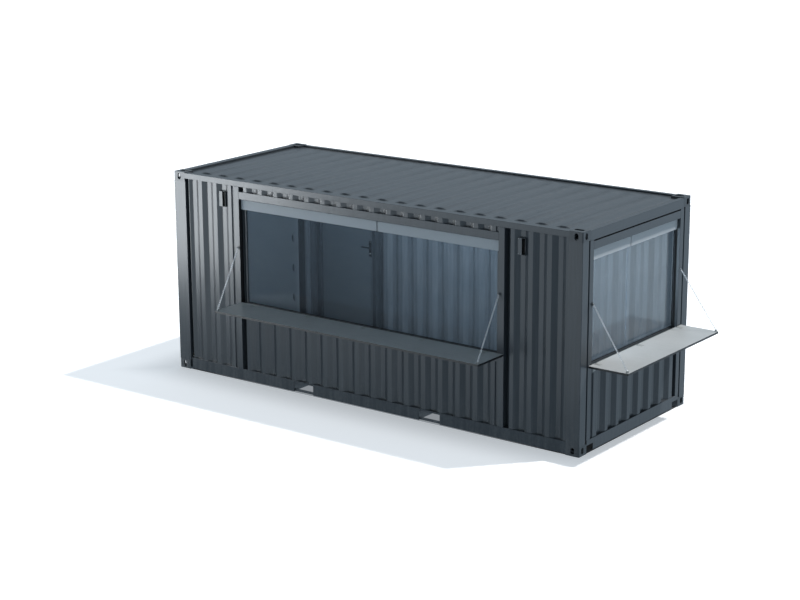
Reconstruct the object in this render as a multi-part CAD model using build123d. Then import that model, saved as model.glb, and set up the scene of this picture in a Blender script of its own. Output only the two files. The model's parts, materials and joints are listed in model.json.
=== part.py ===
from build123d import *
import math
import os

os.makedirs("parts", exist_ok=True)

# ---------------------------------------------------------------- dimensions
# A 20 ft steel freight container turned into a serving cabin.  Millimetres.
# Working frame: x along the length (opening side is -Y, opening end is +X),
# z = 0 under the bottom corner castings.
L, W, H = 6058.0, 2438.0, 2591.0
XL, XR = -L / 2, L / 2            # cargo-door end, window end
YF, YB = -W / 2, W / 2            # window side, back side

CAST_L, CAST_W, CAST_H = 178.0, 162.0, 118.0
CAST_PITCH_X, CAST_PITCH_Y = 5853.0, 2259.0
SLOT_L, SLOT_W = 124.0, 63.5      # top and bottom apertures
SIDE_H, SIDE_W = 79.0, 50.8       # side and end apertures

SHEET = 2.0                       # wall and roof sheet
PITCH = 247.4                     # wall corrugation
FLUTE = 36.0                      # its depth
FLAT, SLOPE = 61.7, 62.0          # outer/inner flat, sloping side
WALL_IN = 8.0                     # outer flats lie this far inside the rail face
WAVE0 = XL + 431.0                # centre line of one outer flat

RAIL_TOP_Z0, RAIL_TOP_Z1 = 2511.0, 2583.0
RAIL_TOP_W = 62.0
RAIL_BOT_Z0, RAIL_BOT_Z1 = 15.0, 158.0
FLANGE = 104.0

POST_X_DOOR, POST_X_WIN = 187.0, 178.0   # post widths along X
POST_GAP = 32.0                   # open groove between a door-end post and the side wall
POST_Y = 130.0                           # and along Y
POST_T = 6.0

# front (long side) window frame
FR_X0, FR_X1 = XL + 1000.0, XL + 5034.0
STILE = 80.0
FRAME_D = 100.0
HEAD_Z0, HEAD_Z1 = 2355.0, 2449.0
SILL_Z0, SILL_Z1 = 930.0, 1006.0
CH_D = 90.0                       # depth of the open channel beside a frame
CH_S = 24.0                       # depth of the shallow ones, which are welded closed

# end window frame
EF_Y0, EF_Y1 = YF + 155.0, YB - 155.0
END_TOP_Z0 = 2465.0

# windows
BAND_Z0, BAND_Z1, BAND_IN = 2220.0, 2343.0, 40.0
GLASS_IN, GLASS_T = 78.0, 10.0
JAMB_W, JAMB_FAR = 58.0, 8.0       # window jamb profiles; the thin one is at the far end-window jamb
GLASS_Z0 = 1024.0
FRONT_SPLIT = XL + 3205.0
END_SPLIT = YF + 1115.0

# counters
CT_Z, CT_T, CT_OUT, CT_GAP = 1036.0, 25.0, 512.0, 6.0
CT_FRONT = (XL + 1092.0, XL + 5034.0)
CT_END = (YF + 160.0, YB - 155.0)
AXIS_OUT = 32.0                   # hinge line in front of the frame face
EYE_OUT, EYE_UP, EYE_IN = 488.0, 14.0, 26.0
ANCH_OUT, ANCH_Z = 14.0, 1738.0   # chain pins stand this far off the stile faces
CHAIN_LOW, CHAIN_R = 300.0, 4.0   # length of the lower half, rod radius
CHAIN_GAP, CHAIN_SIDE = 24.0, 7.0 # gap between the halves, and how far each end stands aside
PIN_R, RING_I, RING_O, RING_T = 4.0, 5.2, 10.0, 6.0

# back door
BD_X0, BD_X1 = XL + 412.0, XL + 1498.0
BD_JAMB = 60.0
BD_LEAF_X0, BD_LEAF_X1 = BD_X0 + 64.0, BD_X0 + 64.0 + 884.0
BD_Z0, BD_Z1 = 178.0, 2176.0
BD_HEAD_Z1 = 2244.0

# floor, fork pockets, roof
DECK_Z0, DECK_Z1 = 143.0, 171.0
FORK_X = (-959.0, 959.0)
FORK_W, FORK_Z0, FORK_Z1 = 305.0, 40.0, 136.0
ROOF_Z = 2560.0
RIB_N, RIB_PITCH, RIB_H = 20, 279.0, 18.0
RIB_TOP, RIB_FOOT = 66.0, 186.0   # width of a roof corrugation at its crest and its foot
RIB_END = 187.0

parts = {}


# ------------------------------------------------------------------- helpers
def box(x0, x1, y0, y1, z0, z1):
    return Pos((x0 + x1) / 2, (y0 + y1) / 2, (z0 + z1) / 2) * Box(
        abs(x1 - x0), abs(y1 - y0), abs(z1 - z0))


def tube(x0, x1, y0, y1, z0, z1, t, axis):
    """Rectangular hollow section, open at both ends along the axis."""
    o = box(x0, x1, y0, y1, z0, z1)
    e = 5.0
    if axis == "x":
        i = box(x0 - e, x1 + e, y0 + t, y1 - t, z0 + t, z1 - t)
    elif axis == "y":
        i = box(x0 + t, x1 - t, y0 - e, y1 + e, z0 + t, z1 - t)
    else:
        i = box(x0 + t, x1 - t, y0 + t, y1 - t, z0 - e, z1 + e)
    return o - i


def cyl(p, q, r):
    """Round bar from p to q."""
    p, q = Vector(*p), Vector(*q)
    d = q - p
    pl = Plane(origin=p, z_dir=d.normalized())
    return extrude(pl * Circle(r), amount=d.length)


def offset_line(pts, t):
    """Polyline moved by t to its left, with mitred corners."""
    out = []
    n = len(pts)
    for i in range(n):
        def nrm(a, b):
            dx, dy = b[0] - a[0], b[1] - a[1]
            l = math.hypot(dx, dy)
            return (-dy / l, dx / l)
        if i == 0:
            nx, ny = nrm(pts[0], pts[1])
            out.append((pts[0][0] + nx * t, pts[0][1] + ny * t))
        elif i == n - 1:
            nx, ny = nrm(pts[-2], pts[-1])
            out.append((pts[-1][0] + nx * t, pts[-1][1] + ny * t))
        else:
            n1, n2 = nrm(pts[i - 1], pts[i]), nrm(pts[i], pts[i + 1])
            k = t / (1 + n1[0] * n2[0] + n1[1] * n2[1])
            out.append((pts[i][0] + (n1[0] + n2[0]) * k,
                        pts[i][1] + (n1[1] + n2[1]) * k))
    return out


def sheet(uv, side, z0, z1, t=SHEET):
    """Folded sheet from a profile (u along the wall, v inwards)."""
    inner = offset_line(uv, t)
    loop = uv + inner[::-1]
    if side == "front":
        pts = [(u, YF + v) for u, v in loop]
    elif side == "back":
        pts = [(u, YB - v) for u, v in loop]
    elif side == "right":
        pts = [(XR - v, u) for u, v in loop]
    else:
        pts = [(XL + v, u) for u, v in loop]
    face = make_face(Polyline(*pts, close=True))
    return Pos(0, 0, z0) * extrude(face, amount=z1 - z0, dir=(0, 0, 1))


def wave(u0, u1, c0, lo=WALL_IN, depth=FLUTE):
    """Corrugated profile between u0 and u1; c0 is one outer flat's centre."""
    hi = lo + depth
    k0 = math.floor((u0 - c0) / PITCH) - 1
    k1 = math.ceil((u1 - c0) / PITCH) + 1
    nodes = []
    for k in range(k0, k1 + 1):
        c = c0 + k * PITCH
        nodes += [(c - FLAT / 2, lo), (c + FLAT / 2, lo),
                  (c + FLAT / 2 + SLOPE, hi), (c + PITCH - FLAT / 2 - SLOPE, hi)]

    def at(u):
        for a, b in zip(nodes, nodes[1:]):
            if a[0] <= u <= b[0]:
                f = (u - a[0]) / (b[0] - a[0]) if b[0] > a[0] else 0
                return a[1] + f * (b[1] - a[1])
        return lo
    inner = [p for p in nodes if u0 + 4 < p[0] < u1 - 4]
    return [(u0, at(u0))] + inner + [(u1, at(u1))]


def channel_left(u_frame, u_wall, depth=CH_D, lo=WALL_IN):
    """Channel between a frame member and the wall to its right."""
    return [(u_frame, depth), (u_wall, depth), (u_wall, lo)]


def channel_right(u_wall, u_frame, depth=CH_D, lo=WALL_IN):
    return [(u_wall, lo), (u_wall, depth), (u_frame, depth)]


def clean(pts):
    out = [pts[0]]
    for p in pts[1:]:
        if math.hypot(p[0] - out[-1][0], p[1] - out[-1][1]) > 0.5:
            out.append(p)
    return out


# ------------------------------------------------------------ corner castings
def stadium_cut(cx, cy, cz, long, wide, axis, along):
    """Slot-shaped cutter through a casting wall."""
    if axis == "z":
        pl = Plane(origin=(cx, cy, cz), x_dir=(1, 0, 0), z_dir=(0, 0, 1))
    elif axis == "y":
        pl = Plane(origin=(cx, cy, cz), x_dir=(0, 0, 1), z_dir=(0, -1, 0))
    else:
        pl = Plane(origin=(cx, cy, cz), x_dir=(0, 0, 1), z_dir=(1, 0, 0))
    sk = pl * SlotOverall(long, wide)
    return extrude(sk, amount=along, both=True)


def casting(sx, sy, top):
    x_out = XR if sx > 0 else XL
    y_out = YB if sy > 0 else YF
    x_in, y_in = x_out - sx * CAST_L, y_out - sy * CAST_W
    z0, z1 = (H - CAST_H, H) if top else (0.0, CAST_H)
    b = box(x_out, x_in, y_out, y_in, z0, z1)
    vert = b.edges().filter_by(Axis.Z)
    outer = [e for e in vert if abs(e.center().X - x_out) < 1 and abs(e.center().Y - y_out) < 1]
    b = fillet(outer, 14)
    t_o, t_i = 27.0, 14.0
    b -= box(x_out - sx * t_o, x_in + sx * t_i, y_out - sy * 24, y_in + sy * t_i,
             z0 + (14 if top else 28), z1 - (28 if top else 14))
    cx, cy = sx * CAST_PITCH_X / 2, sy * CAST_PITCH_Y / 2
    zf = z1 - 14 if top else z0 + 14
    b -= stadium_cut(cx, cy, zf, SLOT_L, SLOT_W, "z", 20)
    zc = z1 - 61 if top else z0 + 61
    b -= stadium_cut(x_out - sx * 87, y_out - sy * 12, zc, SIDE_H, SIDE_W, "y", 16)
    b -= stadium_cut(x_out - sx * 12, y_out - sy * 74, zc, SIDE_H, SIDE_W, "x", 16)
    return b


parts["bottom_corner_castings"] = [casting(sx, sy, False) for sx in (-1, 1) for sy in (-1, 1)]
parts["top_corner_castings"] = [casting(sx, sy, True) for sx in (-1, 1) for sy in (-1, 1)]

# ------------------------------------------------------------------- posts
# folded J-shaped plates: open on the inner side
posts = []
for sx in (-1, 1):
    px = POST_X_WIN if sx > 0 else POST_X_DOOR
    for sy in (-1, 1):
        xo, yo = (XR if sx > 0 else XL), (YB if sy > 0 else YF)
        t = POST_T
        pts = [(0, 0), (px, 0), (px, 50), (px - t, 50), (px - t, t), (t, t),
               (t, POST_Y - t), (50, POST_Y - t), (50, POST_Y), (0, POST_Y)]
        pts = [(xo - sx * a, yo - sy * b) for a, b in pts]
        f = make_face(Polyline(*pts, close=True))
        p = Pos(0, 0, CAST_H) * extrude(f, amount=H - 2 * CAST_H, dir=(0, 0, 1))
        oe = [e for e in p.edges().filter_by(Axis.Z)
              if abs(e.center().X - xo) < 1 and abs(e.center().Y - yo) < 1]
        p = fillet(oe, 5)
        posts.append(p)
parts["corner_posts"] = posts

# ------------------------------------------------------------------- rails
CX0, CX1 = XL + CAST_L, XR - CAST_L
CY0, CY1 = YF + CAST_W, YB - CAST_W
parts["top_side_rails"] = [
    tube(CX0, CX1, YF, YF + RAIL_TOP_W, RAIL_TOP_Z0, RAIL_TOP_Z1, 4, "x"),
    tube(CX0, CX1, YB - RAIL_TOP_W, YB, RAIL_TOP_Z0, RAIL_TOP_Z1, 4, "x")]

# window-end top rail, and the heavier door header at the other end
parts["top_end_rails"] = [
    tube(XR - 60, XR, CY0, CY1, END_TOP_Z0, RAIL_TOP_Z1, 4, "y"),
    tube(XL, XL + 90, CY0, CY1, 2462.0, H - 3, 5, "y")]


def side_rail(sy):
    yo = YF if sy < 0 else YB
    s = -sy                               # inwards
    t = 5.0
    pts = [(0, RAIL_BOT_Z0), (48, RAIL_BOT_Z0), (48, RAIL_BOT_Z0 + t), (t, RAIL_BOT_Z0 + t),
           (t, RAIL_BOT_Z1 - t), (FLANGE, RAIL_BOT_Z1 - t), (FLANGE, RAIL_BOT_Z1), (0, RAIL_BOT_Z1)]
    pts = [(yo + s * a, z) for a, z in pts]
    f = make_face(Plane.YZ * Polyline(*pts, close=True))
    r = Pos(CX0, 0, 0) * extrude(f, amount=CX1 - CX0, dir=(1, 0, 0))
    for fx in FORK_X:
        r -= box(fx - FORK_W / 2, fx + FORK_W / 2, yo - s * 10, yo + s * 60, 0, FORK_Z1)
    # joggled web beside the door-end casting, so that an open groove runs down to the ground
    xg = XL + POST_X_DOOR + POST_GAP - 8
    r -= box(XL, xg, yo - s * 10, yo + s * 38, RAIL_BOT_Z0 - 10, RAIL_BOT_Z1 + 10)
    r -= box(XL, xg, yo - s * 10, yo + s * 60, CAST_H, RAIL_BOT_Z1 + 10)
    r += box(CX0, xg + 4, yo + s * 42, yo + s * 47, RAIL_BOT_Z0, CAST_H)
    r += box(xg, xg + 4, yo + s * 2, yo + s * 47, RAIL_BOT_Z0, RAIL_BOT_Z1)
    return r


parts["bottom_side_rails"] = [side_rail(-1), side_rail(1)]


def end_sill(sx):
    xo = XR if sx > 0 else XL
    s = -sx
    t = 5.0
    pts = [(0, RAIL_BOT_Z0), (48, RAIL_BOT_Z0), (48, RAIL_BOT_Z0 + t), (t, RAIL_BOT_Z0 + t),
           (t, RAIL_BOT_Z1 - t), (FLANGE, RAIL_BOT_Z1 - t), (FLANGE, RAIL_BOT_Z1), (0, RAIL_BOT_Z1)]
    pts = [(xo + s * a, z) for a, z in pts]
    f = make_face(Plane.XZ * Polyline(*pts, close=True))
    r = extrude(f, amount=(CY1 - CY0) / 2, both=True)
    for sy in (-1, 1):                     # raised lower edge beside each casting
        ye = CY1 if sy > 0 else CY0
        r -= box(xo - s * 20, xo + s * 60, ye + sy * 5, ye - sy * 140, 0, 96)
    low = [e for e in r.edges().filter_by(Axis.Y)
           if abs(e.center().X - xo) < 1 and abs(e.center().Z - RAIL_BOT_Z0) < 1]
    r = fillet(low, 4.5)
    return r


parts["bottom_end_rails"] = [end_sill(-1), end_sill(1)]

# ------------------------------------------------------------- floor structure
members = []
n_mem = 18
for i in range(n_mem):
    x = XL + 330 + i * (L - 660) / (n_mem - 1)
    if any(abs(x - fx) < FORK_W / 2 + 40 for fx in FORK_X):
        continue
    m = box(x - 22, x + 22, YF + 12, YB - 12, 21, 142) \
        - box(x - 18, x + 30, YF + 5, YB - 5, 25, 138)
    m -= box(x - 40, x + 40, YF, YF + 50, 0, 24) + box(x - 40, x + 40, YB - 50, YB, 0, 24)
    members.append(m)
parts["floor_cross_members"] = members

pockets = []
for fx in FORK_X:
    for s in (-1, 1):
        xi = fx + s * FORK_W / 2
        side_plate = box(xi, xi + s * 6, YF + 9, YB - 9, 21, 135)
        pockets.append(side_plate)
    pockets.append(box(fx - FORK_W / 2 - 6, fx + FORK_W / 2 + 6, YF + 9, YB - 9, 136, 141))
    for yo, s in ((YF, 1), (YB, -1)):      # strap across the foot of each mouth
        pockets.append(box(fx - FORK_W / 2 + 0.5, fx + FORK_W / 2 - 0.5, yo + s * 26, yo + s * 32, 15, FORK_Z0 + 8))
parts["fork_pockets"] = pockets

parts["floor_deck"] = [box(XL + FLANGE + 2, XR - FLANGE - 2, YF + FLANGE + 2, YB - FLANGE - 2,
                           DECK_Z0, DECK_Z1)]

# --------------------------------------------------------------------- roof
roof = box(XL + 90, XR - 60, YF + RAIL_TOP_W, YB - RAIL_TOP_W, ROOF_Z, ROOF_Z + SHEET)
for sx_, xo_ in ((-1, XL), (1, XR)):
    for yo_ in (YF, YB):
        roof -= box(xo_ - CAST_L, xo_ + CAST_L, yo_ - CAST_W, yo_ + CAST_W, ROOF_Z - 5, ROOF_Z + 5)
for i in range(RIB_N):
    x = (i - (RIB_N - 1) / 2) * RIB_PITCH
    y0, y1 = YF + RIB_END, YB - RIB_END
    z0, z1 = ROOF_Z + SHEET, ROOF_Z + SHEET + RIB_H
    def crest(foot, top, za, zb, ya, yb):
        f = make_face(Plane.XZ * Polyline((x - foot / 2, za), (x - top / 2, zb), (x + top / 2, zb),
                                          (x + foot / 2, za), close=True))
        return Pos(0, (ya + yb) / 2, 0) * extrude(f, amount=(yb - ya) / 2, both=True)
    roof += crest(RIB_FOOT, RIB_TOP, z0 - 0.5, z1, y0, y1)
    roof -= crest(RIB_FOOT - 9, RIB_TOP - 1, z0 - SHEET - 0.5, z1 - SHEET, y0 + SHEET, y1 - SHEET)
parts["roof_panel"] = [roof]

# --------------------------------------------------------------------- walls
Z0, Z1 = RAIL_BOT_Z1, RAIL_TOP_Z0
A = XL + POST_X_DOOR
# last outer flats beside the window frame
wl1 = WAVE0 + 2 * PITCH + FLAT / 2
wu0 = WAVE0 + 3 * PITCH - FLAT / 2
wu1 = WAVE0 + 18 * PITCH + FLAT / 2
wr0 = WAVE0 + 19 * PITCH - FLAT / 2

AG = A + POST_GAP                      # the wall's first fold, beyond the open groove
pl = channel_left(A, AG) + wave(AG, wl1, WAVE0)[1:] + channel_right(wl1, FR_X0, CH_S)
VENT_X = (XL + 802.0, XL + 5257.0)
VENT_W, VENT_Z0, VENT_Z1 = 100.0, 2226.0, 2420.0


def vent_hole(x):
    return box(x - VENT_W / 2 - 0.5, x + VENT_W / 2 + 0.5, YF - 5, YF + 60,
               VENT_Z0 - 0.5, VENT_Z1 + 0.5)


parts["front_wall_left"] = [sheet(clean(pl), "front", Z0, Z1) - vent_hole(VENT_X[0])]
pr = channel_left(FR_X1, wr0) + wave(wr0, XR - POST_X_WIN, WAVE0)
parts["front_wall_right"] = [sheet(clean(pr), "front", Z0, Z1) - vent_hole(VENT_X[1])]
pu = channel_left(FR_X0 + STILE, wu0) + wave(wu0, wu1, WAVE0) + channel_right(wu1, FR_X1 - STILE, CH_S)
parts["front_wall_under_window"] = [sheet(clean(pu), "front", Z0, SILL_Z0)]
parts["front_wall_over_window"] = [sheet(clean(pu), "front", HEAD_Z1, Z1)]

# end wall below the window
ec1 = 3.5 * PITCH + FLAT / 2
we = wave(-ec1, ec1, PITCH / 2)
ec1 = EF_Y1 - STILE - 58
we[0], we[-1] = (-ec1, WALL_IN), (ec1, WALL_IN)
pe = channel_left(EF_Y0 + STILE, -ec1, CH_S) + we + channel_right(ec1, EF_Y1 - STILE)
parts["end_wall_under_window"] = [sheet([(u, v) for u, v in clean(pe)][::-1], "right", Z0, SILL_Z0, -SHEET)]

# back wall, in two lengths and a piece over the door
parts["back_wall_left"] = [sheet(clean(channel_left(A, AG) + wave(AG, BD_X0, WAVE0)[1:])[::-1], "back", Z0, Z1, -SHEET)]
parts["back_wall_main"] = [sheet(clean(wave(BD_X1, XR - POST_X_WIN, WAVE0))[::-1], "back", Z0, Z1, -SHEET)]
parts["back_wall_over_door"] = [sheet(clean(wave(BD_X0, BD_X1, WAVE0))[::-1], "back", BD_HEAD_Z1, Z1, -SHEET)]

# ------------------------------------------------------------- window frames
t = 4.0
parts["front_window_stiles"] = [
    tube(FR_X0, FR_X0 + STILE, YF, YF + FRAME_D, Z0, Z1, t, "z"),
    tube(FR_X1 - STILE, FR_X1, YF, YF + FRAME_D, Z0, Z1, t, "z")]
parts["front_window_bars"] = [
    tube(FR_X0 + STILE, FR_X1 - STILE, YF, YF + FRAME_D, HEAD_Z0, HEAD_Z1, t, "x"),
    tube(FR_X0 + STILE, FR_X1 - STILE, YF, YF + FRAME_D, SILL_Z0, SILL_Z1, t, "x")]
end_stiles = []
for y0, yp, s in ((EF_Y0, YF + POST_Y, 1), (EF_Y1, YB - POST_Y, -1)):
    a = tube(XR - FRAME_D, XR, min(y0, y0 + s * STILE), max(y0, y0 + s * STILE), Z0, END_TOP_Z0, t, "z")
    a += box(XR - 63, XR - 60, yp, y0, Z0, END_TOP_Z0)   # filler towards the post
    end_stiles.append(a)
parts["end_window_stiles"] = end_stiles
parts["end_window_bars"] = [
    tube(XR - FRAME_D, XR, EF_Y0 + STILE, EF_Y1 - STILE, HEAD_Z0, HEAD_Z1, t, "y")
    + box(XR - 58, XR - 55, EF_Y0 + STILE, EF_Y1 - STILE, HEAD_Z1, END_TOP_Z0),
    tube(XR - FRAME_D, XR, EF_Y0 + STILE, EF_Y1 - STILE, SILL_Z0, SILL_Z1, t, "y")]

# ------------------------------------------------------------------ windows
fx0, fx1 = FR_X0 + STILE, FR_X1 - STILE
ey0, ey1 = EF_Y0 + STILE, EF_Y1 - STILE
heads, glass, tracks = [], [], []
for a, b in ((fx0 + 2, FRONT_SPLIT - 6), (FRONT_SPLIT + 6, fx1 - 2)):
    heads.append(tube(a, b, YF + BAND_IN, YF + 92, BAND_Z0, BAND_Z1, 3, "x"))
for a, b in ((ey0 + 2, END_SPLIT - 6), (END_SPLIT + 6, ey1 - 2)):
    heads.append(tube(XR - 92, XR - BAND_IN, a, b, BAND_Z0, BAND_Z1, 3, "y"))
gz0, gz1 = GLASS_Z0, BAND_Z0
g0, g1 = GLASS_IN, GLASS_IN + GLASS_T
for a, b in ((fx0 + JAMB_W, FRONT_SPLIT - 3), (FRONT_SPLIT + 3, fx1 - JAMB_W)):
    glass.append(box(a, b, YF + g0, YF + g1, gz0, gz1))
for a, b in ((ey0 + JAMB_W, END_SPLIT - 3), (END_SPLIT + 3, ey1 - JAMB_FAR)):
    glass.append(box(XR - g1, XR - g0, a, b, gz0, gz1))
tz = SILL_Z1
tracks.append(tube(fx0, fx1, YF + 66, YF + 96, tz, gz0, 3, "x"))
tracks.append(tube(XR - 96, XR - 66, ey0, ey1, tz, gz0, 3, "y"))
for a, b in ((fx0, fx0 + JAMB_W), (fx1 - JAMB_W, fx1)):
    tracks.append(tube(a, b, YF + 66, YF + 96, gz0 + 1, BAND_Z0 - 1, 3, "z"))
tracks.append(tube(XR - 96, XR - 66, ey0, ey0 + JAMB_W, gz0 + 1, BAND_Z0 - 1, 3, "z"))
tracks.append(box(XR - 96, XR - 66, ey1 - JAMB_FAR, ey1, gz0 + 1, BAND_Z0 - 1))
parts["window_head_rails"] = heads
parts["window_glass"] = glass
parts["window_tracks"] = tracks

# ----------------------------------------------------------------- vents
vents = []
for xc in VENT_X:                      # hooded box, open in its right half
    v = box(xc - 50, xc + 50, YF + 6, YF + 48, VENT_Z0, VENT_Z1)
    v -= box(xc - 47, xc + 47, YF + 9, YF + 45, VENT_Z0 + 3, VENT_Z1 - 3)
    v -= box(xc + 3, xc + 47, YF, YF + 12, VENT_Z0 + 3, VENT_Z1 - 3)
    vents.append(v)
parts["wall_vents"] = vents

# ------------------------------------------------------------- back door
jd = 100.0
jambs = [
    tube(BD_X0, BD_X0 + BD_JAMB, YB - jd, YB, Z0, BD_Z1 + 4, 3, "z"),
    tube(BD_LEAF_X1 + 4, BD_LEAF_X1 + 4 + BD_JAMB, YB - jd, YB, Z0, BD_Z1 + 4, 3, "z"),
    box(BD_LEAF_X1 + 4 + BD_JAMB + 1, BD_X1, YB - 12, YB - 9, Z0, BD_Z1 + 4)]
parts["back_door_jambs"] = jambs
parts["back_door_head"] = [tube(BD_X0 + 1, BD_X1 - 1, YB - jd, YB, BD_Z1 + 4, BD_HEAD_Z1, 3, "x")]
leaf = box(BD_LEAF_X0, BD_LEAF_X1, YB - 52, YB - 8, BD_Z0 + 2, BD_Z1)
leaf -= box(BD_LEAF_X0 + 1.5, BD_LEAF_X1 - 1.5, YB - 50.5, YB - 9.5, BD_Z0 - 4, BD_Z1 - 1.5)
parts["back_door_leaf"] = [leaf]

hx = BD_LEAF_X1 - 62.0
hz = 1290.0
handle = []
for yo, s in ((YB - 8, 1), (YB - 52, -1)):
    plate = box(hx - 20, hx + 20, yo, yo + s * 8, hz - 110, hz + 110)
    neck = cyl((hx, yo + s * 7, hz + 20), (hx, yo + s * 45, hz + 20), 10.5)
    lever = cyl((hx + 15, yo + s * 40, hz + 20), (hx - 130, yo + s * 40, hz + 20), 8)
    handle.append(plate + neck + lever)
parts["back_door_handles"] = handle

# three weld-on hinges, axis just outside the leaf's left edge
BH_X, BH_Y = BD_LEAF_X0 - 2.0, YB + 12.0
hinges_m, hinges_f = [], []
for z in (420.0, 1190.0, 1960.0):
    k = cyl((BH_X, BH_Y, z), (BH_X, BH_Y, z + 60), 10)
    k += box(BH_X, BH_X + 70, YB - 8, YB - 2, z, z + 60) + box(BH_X, BH_X + 12, YB - 8, BH_Y, z, z + 60)
    k += cyl((BH_X, BH_Y, z - 50), (BH_X, BH_Y, z + 1), 5)
    hinges_m.append(k)
    f = cyl((BH_X, BH_Y, z - 62), (BH_X, BH_Y, z - 1), 10) - cyl((BH_X, BH_Y, z - 52), (BH_X, BH_Y, z), 5.05)
    f += box(BH_X - 46, BH_X - 8, YB, YB + 6, z - 62, z - 1)
    f += box(BH_X - 12, BH_X - 7, YB, BH_Y + 4, z - 62, z - 1)
    hinges_f.append(f)
parts["back_door_hinge_leaves"] = hinges_m
parts["back_door_hinge_pintles"] = hinges_f

# --------------------------------------------------------- cargo-door end
CD_Z0, CD_Z1 = 174.0, 2454.0
CD_X, CD_T, CD_EDGE = 62.0, 50.0, 100.0      # set back, thickness, edge member width
Y_EDGES = ((YF + POST_Y + 8, -4.0), (4.0, YB - POST_Y - 8))
leaves = []
for y0, y1 in Y_EDGES:
    x0 = XL + CD_X
    b = tube(x0, x0 + CD_T, y0, y0 + CD_EDGE, CD_Z0, CD_Z1, 4, "z")
    b += tube(x0, x0 + CD_T, y1 - CD_EDGE, y1, CD_Z0, CD_Z1, 4, "z")
    for z0, z1, zo in ((CD_Z0, CD_Z0 + CD_EDGE, -1), (CD_Z1 - CD_EDGE, CD_Z1, 1)):
        c = box(x0, x0 + CD_T, y0 + CD_EDGE, y1 - CD_EDGE, z0, z1)
        if zo < 0:
            c -= box(x0 + 4, x0 + CD_T - 4, y0 + CD_EDGE - 1, y1 - CD_EDGE + 1, z0 - 5, z1 - 4)
        else:
            c -= box(x0 + 4, x0 + CD_T - 4, y0 + CD_EDGE - 1, y1 - CD_EDGE + 1, z0 + 4, z1 + 5)
        b += c
    # pressed skin with five outward bars
    za, zb = CD_Z0 + CD_EDGE, CD_Z1 - CD_EDGE
    step = (zb - za) / 5
    prof = [(za, 3.0)]
    for i in range(5):
        m = za + (i + 0.5) * step
        prof += [(m - 62, 3.0), (m - 34, 32.0), (m + 34, 32.0), (m + 62, 3.0)]
    prof += [(zb, 3.0)]
    inn = offset_line(prof, -3.0)
    loop = [(x0 + CD_T - v, z) for z, v in prof + inn[::-1]]
    f = make_face(Plane.XZ * Polyline(*loop, close=True))
    sk = Pos(0, (y0 + y1) / 2, 0) * extrude(f, amount=(y1 - y0) / 2 - CD_EDGE + 0.5, both=True)
    leaves.append(b + sk)
parts["cargo_doors"] = leaves

BAR_X, BAR_R = XL + 34.0, 16.0
gear, levers = [], []
for y0, y1 in Y_EDGES:
    for k, fr in enumerate((0.30, 0.76)):
        y = y0 + (y1 - y0) * (fr if y0 < 0 else 1 - fr)
        s_ = 1 if y0 < 0 else -1
        bar = cyl((BAR_X, y, 172), (BAR_X, y, 2450), BAR_R)
        for z in (420.0, 1010.0, 1690.0, 2210.0):        # bearing brackets
            bar += box(BAR_X - 22, XL + CD_X, y - 24, y + 24, z - 26, z + 26)
        for z in (176.0, 2412.0):                        # cam ends
            bar += box(BAR_X - 20, BAR_X + 20, y - 26, y + 34, z, z + 34)
        gear.append(bar)
        zz = 1250.0
        ya, yb = sorted((y - s_ * (BAR_R + 0.5), y - s_ * 255))
        lv = box(BAR_X - 10, BAR_X - 2, ya, yb, zz - 14, zz + 14)
        ya, yb = sorted((y - s_ * (BAR_R + 0.5), y - s_ * (BAR_R + 26)))
        lv += box(BAR_X - 12, BAR_X + 10, ya, yb, zz - 22, zz + 22)
        ya, yb = sorted((y - s_ * 215, y - s_ * 250))
        lv += box(BAR_X - 16, XL + CD_X, ya, yb, zz - 26, zz + 26)
        levers.append(lv)
parts["cargo_door_locking_bars"] = gear
parts["cargo_door_levers"] = levers

dh = []
for sy in (-1, 1):
    yp = sy * (YB - POST_Y - 20)
    for z in (330.0, 860.0, 1460.0, 2080.0, 2340.0)[:4]:
        h = cyl((XL + 40, yp, z - 62), (XL + 40, yp, z + 62), 13)
        h += box(XL + 50, XL + CD_X, min(yp - sy * 170, yp), max(yp - sy * 170, yp), z - 34, z + 34)
        h += box(XL + 30, XL + 50, min(yp, yp + sy * 20), max(yp, yp + sy * 20), z - 62, z + 62)
        dh.append(h)
parts["cargo_door_hinges"] = dh

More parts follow.
